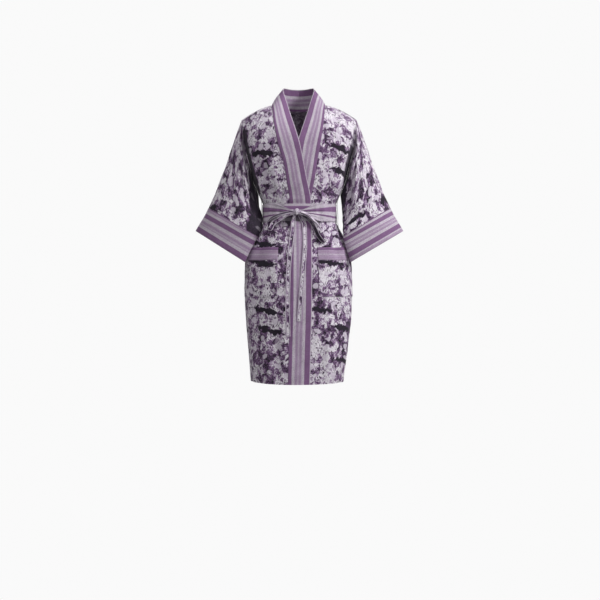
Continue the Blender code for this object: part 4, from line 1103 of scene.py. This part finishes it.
sleeves, cuffs = {}, {}
for side, word in SIDES:
    sleeves[side] = dress(make_sleeve(f"sleeve_{word}_cloth", side), f"sleeve_{word}")
    cuffs[side] = dress(make_cuff(f"cuff_{word}_cloth", side), f"cuff_band_{word}")

# %% [markdown]
# ## The pockets
#
# A patch pocket lies on its front, and so it is made from the front's own points, moved
# out. Its mouth gapes a little, as a used pocket's does, and carries a striped band.

# %% Pockets and their bands
POCKET_TOP, POCKET_BAND_BOTTOM, POCKET_BOTTOM = -0.449, -0.488, -0.600
POCKET_OUTER, POCKET_INNER = 0.07, {-1: 0.846, 1: 0.894}
PATCH = CLOTH + LAYER_GAP
MOUTH_GAPE = 0.0035


def make_patch(name, side, bottom, top, thickness, width=None):
    """A grid on the front between two levels, lifted by the gape near the mouth."""
    rows, columns = edge_shares(30 if width is None else 14), edge_shares(36)
    level = (bottom + (top - bottom) * rows)[:, None]
    shares = (POCKET_OUTER + (POCKET_INNER[side] - POCKET_OUTER) * columns)[None, :]
    gape = MOUTH_GAPE * ease(-0.52, POCKET_TOP, level) * np.sin(math.pi * columns)[None, :]
    thick = thickness * rounded_edge(columns)[None, :] * (rounded_edge(rows)[:, None] if width else 1)
    inner, outer = front_wall(side, level, shares, PATCH + gape, PATCH + gape + thick)
    cut_at = [0.9 + 1.3 * side, 0.8]
    uv = front_lengths(side, outer) + cut_at
    u, v = np.moveaxis(cloth_lengths(outer), -1, 0)
    sides = np.minimum(u, u[:, -1:] - u)
    if width:
        uv[..., 1] = rows[:, None] * width
        sewn = sewn_along(u, from_edges(rows, width)[:, None])
        return shell(name, inner, outer, uv, [pocket_cloth], sewn=sewn)
    sewn = sewn_along(np.where(v < sides, u, v), np.minimum(v, sides))
    return shell(name, inner, outer, uv, [print_cloth], sewn=sewn)


pockets, pocket_bands = {}, {}
for side, word in SIDES:
    patch = make_patch(f"pocket_{word}_cloth", side, POCKET_BOTTOM, POCKET_BAND_BOTTOM - SEAM_GAP, CLOTH)
    mouth = (POCKET_BAND_BOTTOM, POCKET_TOP, BAND_CLOTH, pocket_band_width)
    band = make_patch(f"pocket_band_{word}_cloth", side, *mouth)
    pockets[side] = dress(patch, f"pocket_{word}")
    pocket_bands[side] = dress(band, f"pocket_band_{word}")

# %% [markdown]
# ## The sash
#
# The sash goes once round the waist, and its two ends are gathered into the knot. There it
# narrows to a finger's width. Its stripes run together like rays, each at its height over
# the distance to the knot, and pleats stand up along the same rays. Behind the knot lies
# the plain underlap.

# %% The sash and its underlap
KNOT_HALF = (0.0080, 0.0060, 0.0095)
KNOT_SEAT_GAP = 0.0003
UNDERLAP_LIFT = OVERLAP_LIFT + BAND_CLOTH + LAYER_GAP
SASH_FRONT_LIFT = UNDERLAP_LIFT + CLOTH + LAYER_GAP
SASH_LIFT = CLOTH + 0.0009
UNDERLAP_HALF = 0.080
GATHER_REACH, GATHERED_HALF_WIDTH = 0.060, 0.0065
BESIDE_KNOT = KNOT_HALF[0] + SEAM_GAP + 0.0010
RAY_REACH = 0.112
PLEATS = table("place width height", [
    (-2.9, 0.50, 1.8), (-1.7, 0.30, 2.0), (-0.95, 0.18, 1.8), (-0.45, 0.14, 2.2), (0.02, 0.11, -1.6),
    (0.40, 0.13, 2.2), (0.90, 0.16, 1.8), (1.6, 0.30, 2.0), (2.6, 0.50, 1.6),
], "place width")
GATHERED_COLUMNS, ROUND_COLUMNS, SASH_ROWS = 46, 210, 36


def sash_lift(turn, x):
    """The sash lies close on the back and higher in front, over the bands and the underlap."""
    front = SASH_LIFT + (SASH_FRONT_LIFT - SASH_LIFT) * ease(0.108, 0.080, np.abs(x))
    return np.where(np.sin(turn) > 0, front, SASH_LIFT)


def make_underlap():
    """A plain strip behind the knot, raised over the bands and sloping down at its ends."""
    x = np.linspace(-UNDERLAP_HALF, UNDERLAP_HALF, 40)[None, :]
    rows = edge_shares(12)
    level = (SASH_BOTTOM + 0.001 + (SASH_TOP - SASH_BOTTOM - 0.002) * rows)[:, None]
    lift = SASH_LIFT + (UNDERLAP_LIFT - SASH_LIFT) * ease(0.100, 0.045, np.abs(x)) + 0 * level
    turn = turn_at(x, level)
    inner, outer = on_body(turn, level, lift), on_body(turn, level, lift + CLOTH)
    uv = np.stack(np.broadcast_arrays(x, rows[:, None] * sash_width), axis=-1)
    # Painted shadow under the bow.
    return shell("sash_underlap_cloth", inner, outer, uv, [sash_cloth], shade=painted_shadow_under_bow(outer))


def sash_grids():
    """Columns from one side of the knot round the back to the other; near the knot the half
    width eases from the sash's own to a finger's, and pleats rise."""
    middle = (SASH_TOP + SASH_BOTTOM) / 2
    near = BESIDE_KNOT + GATHER_REACH * np.linspace(0, 1, GATHERED_COLUMNS) ** 1.4
    right, left = turn_at(KNOT_X - near, middle), turn_at(KNOT_X + near, middle)
    round_the_back = np.linspace(right[-1], left[-1] - math.tau, ROUND_COLUMNS)
    turns = np.concatenate([right[:-1], round_the_back, left[::-1][1:] - math.tau])
    turn = np.where(turns < -math.pi, turns + math.tau, turns)[None, :]
    rows = edge_shares(SASH_ROWS, 0.02)
    share = (2 * rows - 1)[:, None]
    x = body_point(turn, middle)[..., 0]
    from_knot = np.abs(x - KNOT_X) - BESIDE_KNOT
    gathered = np.where(np.sin(turn) > 0, ease(GATHER_REACH, 0, from_knot), 0)
    half = (SASH_TOP - SASH_BOTTOM) / 2 * (1 - gathered) + GATHERED_HALF_WIDTH * gathered
    level = middle * (1 - gathered) + KNOT_Z * gathered + half * share
    turn, level = np.broadcast_arrays(turn, level)
    fan = np.where(np.sin(turn) > 0, ease(0.100, 0.03, from_knot) * ease(0, 0.008, from_knot), 0)
    lift = sash_lift(turn, x) + 0.0005 * gathered
    spread = np.where(np.sin(turn) > 0, np.clip(np.abs(x - KNOT_X) / RAY_REACH, 0.05, 1), 1)
    focus = middle + (KNOT_Z - middle) * ease(RAY_REACH, 0, np.abs(x - KNOT_X)) * (np.sin(turn) > 0)
    ray = (level - focus) / spread / ((SASH_TOP - SASH_BOTTOM) / 2)
    for place, width, height in zip(*PLEATS.values()):
        lift = lift + height * fan * bell(ray - place * np.where(x < KNOT_X, 1, -1), width)
    lift = lift + 0.0006 * np.sin(9 * turn + 3 * share) * (1 - gathered)
    return turn, level, lift, rows, ray


def make_sash():
    """The sash's shell. Its stripes follow the rays, and its wall thins at both long edges."""
    turn, level, lift, rows, ray = sash_grids()
    inner = on_body(turn, level, lift)
    outer = on_body(turn, level, lift + BAND_CLOTH * rounded_edge(rows, 0.02)[:, None])
    uv = cloth_lengths(outer)
    uv[..., 1] = (ray + 1) / 2 * sash_width
    # Painted shadow under the bow, on the front of the sash only.
    shade = painted_shadow_under_bow(outer) * (outer[..., 1] < 0)
    sewn = sewn_along(uv[..., 0], from_edges(rows, sash_width)[:, None])
    return shell("sash_cloth", inner, outer, uv, [sash_cloth], shade=shade, sewn=sewn)


underlap = dress(make_underlap(), "sash_underlap")
sash = dress(make_sash(), "sash")

# %% [markdown]
# ## Belt carriers, ribbons and the knot
#
# A carrier at each side seam keeps the sash up. The bow is a narrow ribbon of the print
# cloth. A ribbon is a flat profile carried along a path: the path gives its centre, and
# `lean` turns it from flat against the body to edge on, as a tied loop stands. The knot is
# a rounded block, with the turn of ribbon that binds it as a raised belt.

# %% Belt carriers
CARRIER = table("share lift", [
    (0, 1.8), (0.10, 4.6), (0.35, 6.0), (0.65, 7.4), (0.88, 5.2), (1, 1.8),
], "share")
CARRIER_TOP, CARRIER_BOTTOM, CARRIER_HALF_WIDTH = SASH_TOP + 0.012, SASH_BOTTOM - 0.014, 0.004
CARRIER_LENGTH, CARRIER_STEPS = 0.08, 60


def make_carrier(name, side):
    """A strip at the side seam whose lift rises over the sash and falls again."""
    share = np.linspace(0, 1, CARRIER_STEPS)
    across = edge_shares(5, 0.06)
    level = CARRIER_TOP + (CARRIER_BOTTOM - CARRIER_TOP) * share
    seam = np.full(len(share), 0.0 if side < 0 else math.pi)
    out = body_normal(seam, level)
    line = body_point(seam, level) + out * read(CARRIER, share)[0][:, None]
    lip = 0.6 * body_fold(seam, level)[:, None] * out
    half = np.array([0, CARRIER_HALF_WIDTH, 0])
    strip = (line + lip)[:, None, :] + half * (2 * across - 1)[None, :, None]
    outer = strip + out[:, None, :] * (CLOTH * rounded_edge(across, 0.06))[None, :, None]
    pattern = (share[:, None] * CARRIER_LENGTH, across * 2 * CARRIER_HALF_WIDTH + 0.002)
    uv = np.stack(np.broadcast_arrays(*pattern), axis=-1)
    return shell(name, strip, outer, uv, [sash_cloth])


carriers = [dress(make_carrier(f"belt_carrier_{word}", side), f"belt_loop_{word}")
            for side, word in SIDES]

# %% Ribbons
RIBBON_ROWS = "step x z lift lean width"
RIBBON_STEPS = 130
RIBBONS = {
    "bow_loop_right": [
        (-11.9, -345.5, 12.5, 0.9, 8), (-29.5, -348, 15, 0.85, 11), (-45.5, -356, 18.5, 0.6, 14),
        (-60, -369, 20.5, 0.45, 14), (-71, -384, 20.5, 0.45, 14), (-80, -398.5, 18.5, 0.9, 13),
        (-88, -396, 16, 1.2, 13), (-89.5, -379, 14.5, 1, 14), (-79, -360, 14.5, 0.8, 14),
        (-54.5, -346.5, 14.5, 0.85, 13), (-30, -339.8, 13.5, 0.9, 11), (-12.6, -337, 12.5, 0.9, 8),
    ],
    "bow_loop_left": [
        (3.4, -337, 12.5, 0.9, 8), (19, -342, 15, 0.95, 11), (34.5, -353.5, 17, 1, 13),
        (48, -370, 17.5, 1.05, 14), (61.5, -390.5, 17, 1.05, 14), (73.5, -411, 16, 1, 14),
        (81.5, -428, 14.5, 1.15, 13), (74.5, -434, 13.5, 1.15, 13), (60, -419, 14, 0.85, 14),
        (48.5, -396, 14.5, 0.75, 14), (38, -374.5, 15, 0.8, 14), (24, -357.5, 14.5, 0.9, 12),
        (2.7, -346, 12.5, 0.9, 8),
    ],
    "tie_tail_left": [
        (1.5, -349, 7, 0, 8), (9.8, -361, 7, 0, 11), (17.8, -379, 6.4, 0, 13), (19.5, -408, 5.8, 0, 13),
        (20, -445, 5.4, 0, 13), (17, -490, 5.4, 0, 13), (9, -580, 5.4, 0, 13), (1.5, -673, 5.4, 0, 13),
    ],
    "tie_tail_right": [
        (-11, -349, 7, 0, 8), (-15, -365, 7, 0, 11), (-16.5, -395, 6.2, 0, 14), (-21.5, -430, 5.6, 0, 14),
        (-26, -470, 5.4, 0, 14), (-31, -540, 5.4, 0, 14), (-32.5, -620, 5.4, 0, 14),
        (-31, -719, 5.4, 0, 14),
    ],
}
CURL = 0.0009
# Painted shade inside each loop and at the top of the left tail: first step, last step, and strength.
PAINTED_SHADE_STEPS = {
    "bow_loop_right": (5.5, 11, 0.75), "bow_loop_left": (6.5, 12, 0.85), "tie_tail_left": (-1, 1.2, 0.5),
}


def make_ribbon(name, rows):
    """A flat profile along a path: the width lies across the path, turned by the lean, and
    the middle of the profile bows out a little. A row's step is its place in the list."""
    columns = table(RIBBON_ROWS, [(place, *row) for place, row in enumerate(rows)], "step lean")
    step = np.linspace(0, len(rows) - 1, RIBBON_STEPS)
    x, z, lift, lean, width = read(columns, step)
    turn = turn_at(x, z)
    facing = body_normal(turn, z)
    ripple = 0.0006 * np.sin(2.6 * step + 1) * ease(0, 1, step)
    folds = np.maximum(body_fold(turn, z), 0) * (lean < 0.1)
    centre = body_point(turn, z) + facing * (lift + folds + np.abs(ripple))[:, None]
    tangent = np.gradient(centre, axis=0)
    tangent /= np.linalg.norm(tangent, axis=1, keepdims=True)
    across = np.cross(tangent, facing)
    across /= np.linalg.norm(across, axis=1, keepdims=True)
    width_way = across * np.cos(lean)[:, None] + facing * np.sin(lean)[:, None]
    thick_way = np.cross(tangent, width_way)
    share = edge_shares(9, 0.04)
    side = (2 * share - 1)[None, :, None]
    middle = centre[:, None, :] + width_way[:, None, :] * (width / 2)[:, None, None] * side
    middle = middle + thick_way[:, None, :] * CURL * (1 - side**2)
    thick = thick_way[:, None, :] * (RIBBON_CLOTH / 2 * rounded_edge(share, 0.04))[None, :, None]
    length = np.concatenate([[0], np.cumsum(np.linalg.norm(np.diff(centre, axis=0), axis=1))])
    u, v = np.broadcast_arrays(share[None, :] * RIBBON_WIDTH, length[:, None])
    uv = np.stack([u + len(name) * RIBBON_WIDTH, v + len(name) * 0.17], axis=-1)
    print(name, "is", round(float(length[-1]), 3), "m long")
    # Painted shade along those steps, fading out towards the ribbon's two edges.
    first, last, most = PAINTED_SHADE_STEPS.get(name, (-2, -1, 0))
    inside = most * ease(first, first + 1, step) * ease(last + 0.5, last - 0.5, step)
    shade = inside[:, None] * ease(0.98, 0.80, np.abs(2 * share - 1))[None, :]
    return shell(name + "_ribbon", middle - thick, middle + thick, uv, [print_ribbon], shade=shade)


ribbons = {name: dress(make_ribbon(name, rows), name) for name, rows in RIBBONS.items()}

# %% The knot
KNOT_AROUND, KNOT_RINGS, KNOT_POWER = 64, 40, 0.75


def make_knot():
    """A block whose axes are powers of cosine and sine, pinched by two slanting creases."""
    around, rings = KNOT_AROUND, KNOT_RINGS
    turns = np.linspace(0, math.tau, around, endpoint=False)[None, :]
    heights = np.linspace(-math.pi / 2, math.pi / 2, rings + 2)[1:-1, None]

    def power(value):
        return np.sign(value) * np.abs(value) ** KNOT_POWER

    ring = power(np.cos(heights))
    slant = heights + 0.35 * np.cos(turns)
    creases = 0.13 * bell(slant - 0.42, 0.13) + 0.13 * bell(slant + 0.46, 0.13)
    groove = 1 - creases + 0.05 * bell(slant, 0.25)
    half_x, half_y, half_z = KNOT_HALF
    x = half_x * ring * power(np.cos(turns)) * groove
    y = half_y * ring * power(np.sin(turns)) * groove
    z = half_z * power(np.sin(heights)) + 0 * turns
    turn = turn_at(KNOT_X, KNOT_Z)
    seat = UNDERLAP_LIFT + CLOTH + KNOT_SEAT_GAP - y.min()
    place = body_point(turn, KNOT_Z) + body_normal(turn, KNOT_Z) * seat
    poles = [[0, 0, -half_z], [0, 0, half_z]]
    points = np.concatenate([np.stack([x, y, z], axis=-1).reshape(-1, 3), poles]) + place
    index = np.arange(rings * around).reshape(rings, around)
    index = np.concatenate([index, index[:, :1]], axis=1)
    faces = quads_between(index).tolist()
    for pole, row in ((rings * around, index[0]), (rings * around + 1, index[-1])):
        faces += np.stack([np.full(around, pole), row[:-1], row[1:]], axis=-1).tolist()
    mesh = bpy.data.meshes.new("bow_knot_ribbon")
    mesh.from_pydata(points, [], faces)
    uv = (points - place)[:, [0, 2]] * [0.95, 1.0] + [0.007, 0.9]
    corners = np.empty(len(mesh.loops), np.int32)
    mesh.loops.foreach_get("vertex_index", corners)
    mesh.uv_layers.new(name="cloth").data.foreach_set("uv", uv[corners].ravel())
    mesh.materials.append(print_ribbon)
    return finish_mesh("bow_knot_ribbon", mesh)


knot = dress(make_knot(), "bow_knot")

# %% [markdown]
# ## The studio
#
# A white floor, a pale sky that only the camera sees at full strength, and one large lamp
# at the front, to the right of the camera, with weaker ones above, in front and behind. The
# left half of the robe falls off into shade, and the deep places beside the sleeves stay dark, partly by
# painted shade.

# %% Floor, sky and lamps
WHITE_GROUND = 0.955
FLOOR_LEVEL, FLOOR_HALF = -1.50, 30.0


def floor_material():
    """White where the camera sees it, and a pale grey diffuse floor for all other light."""
    material = bpy.data.materials.new("studio_floor")
    material.use_nodes = True
    tree = material.node_tree
    surface = tree.nodes["Principled BSDF"]
    surface.inputs["Base Color"].default_value = (0.45, 0.45, 0.45, 1)
    surface.inputs["Roughness"].default_value = 0.9
    surface.inputs["Specular IOR Level"].default_value = 0.0
    glow = node(tree, "Emission", {"Color": (1, 1, 1, 1), "Strength": WHITE_GROUND})
    seen = node(tree, "LightPath", {}).outputs["Is Camera Ray"]
    mixed = node(tree, "MixShader", {0: seen, 1: surface.outputs[0], 2: glow.outputs[0]})
    tree.links.new(mixed.outputs[0], tree.nodes["Material Output"].inputs["Surface"])
    return material


floor_mesh = bpy.data.meshes.new("floor")
corner_signs = ((-1, -1), (1, -1), (1, 1), (-1, 1))
floor_corners = [(a * FLOOR_HALF, b * FLOOR_HALF, FLOOR_LEVEL) for a, b in corner_signs]
floor_mesh.from_pydata(floor_corners, [], [(0, 1, 2, 3)])
floor_mesh.materials.append(floor_material())
floor = put("floor", floor_mesh)

world = bpy.data.worlds.new("studio")
world.use_nodes = True
bpy.context.scene.world = world
sky = world.node_tree
seen = node(sky, "LightPath", {}).outputs["Is Camera Ray"]
strength = node(sky, "MapRange", {"Value": seen, "To Min": 0.15, "To Max": WHITE_GROUND}).outputs["Result"]
sky.links.new(strength, sky.nodes["Background"].inputs["Strength"])
sky.nodes["Background"].inputs["Color"].default_value = (1, 1, 1, 1)

LAMPS_AIM = (0, 0, -0.4)
LAMPS = [
    ("key", (2.3, -1.35, 1.45), 0.9, 92),
    ("top", (-1.6, -0.8, 2.0), 1.3, 30),
    ("fill", (0.4, -4.2, 0.1), 2.0, 17),
    ("back", (-1.1, 3.2, 1.2), 1.8, 34),
]
for lamp_name, lamp_place, lamp_size, power in LAMPS:
    lamp_data = bpy.data.lights.new(lamp_name, "AREA")
    lamp_data.size = lamp_size
    lamp_data.energy = power
    lamp = put(lamp_name, lamp_data)
    lamp.location = lamp_place
    aim = mathutils.Vector(LAMPS_AIM) - lamp.location
    lamp.rotation_euler = aim.to_track_quat("-Z", "Y").to_euler()
bpy.context.scene.view_settings.view_transform = "Standard"
print("lamps", [lamp[0] for lamp in LAMPS])
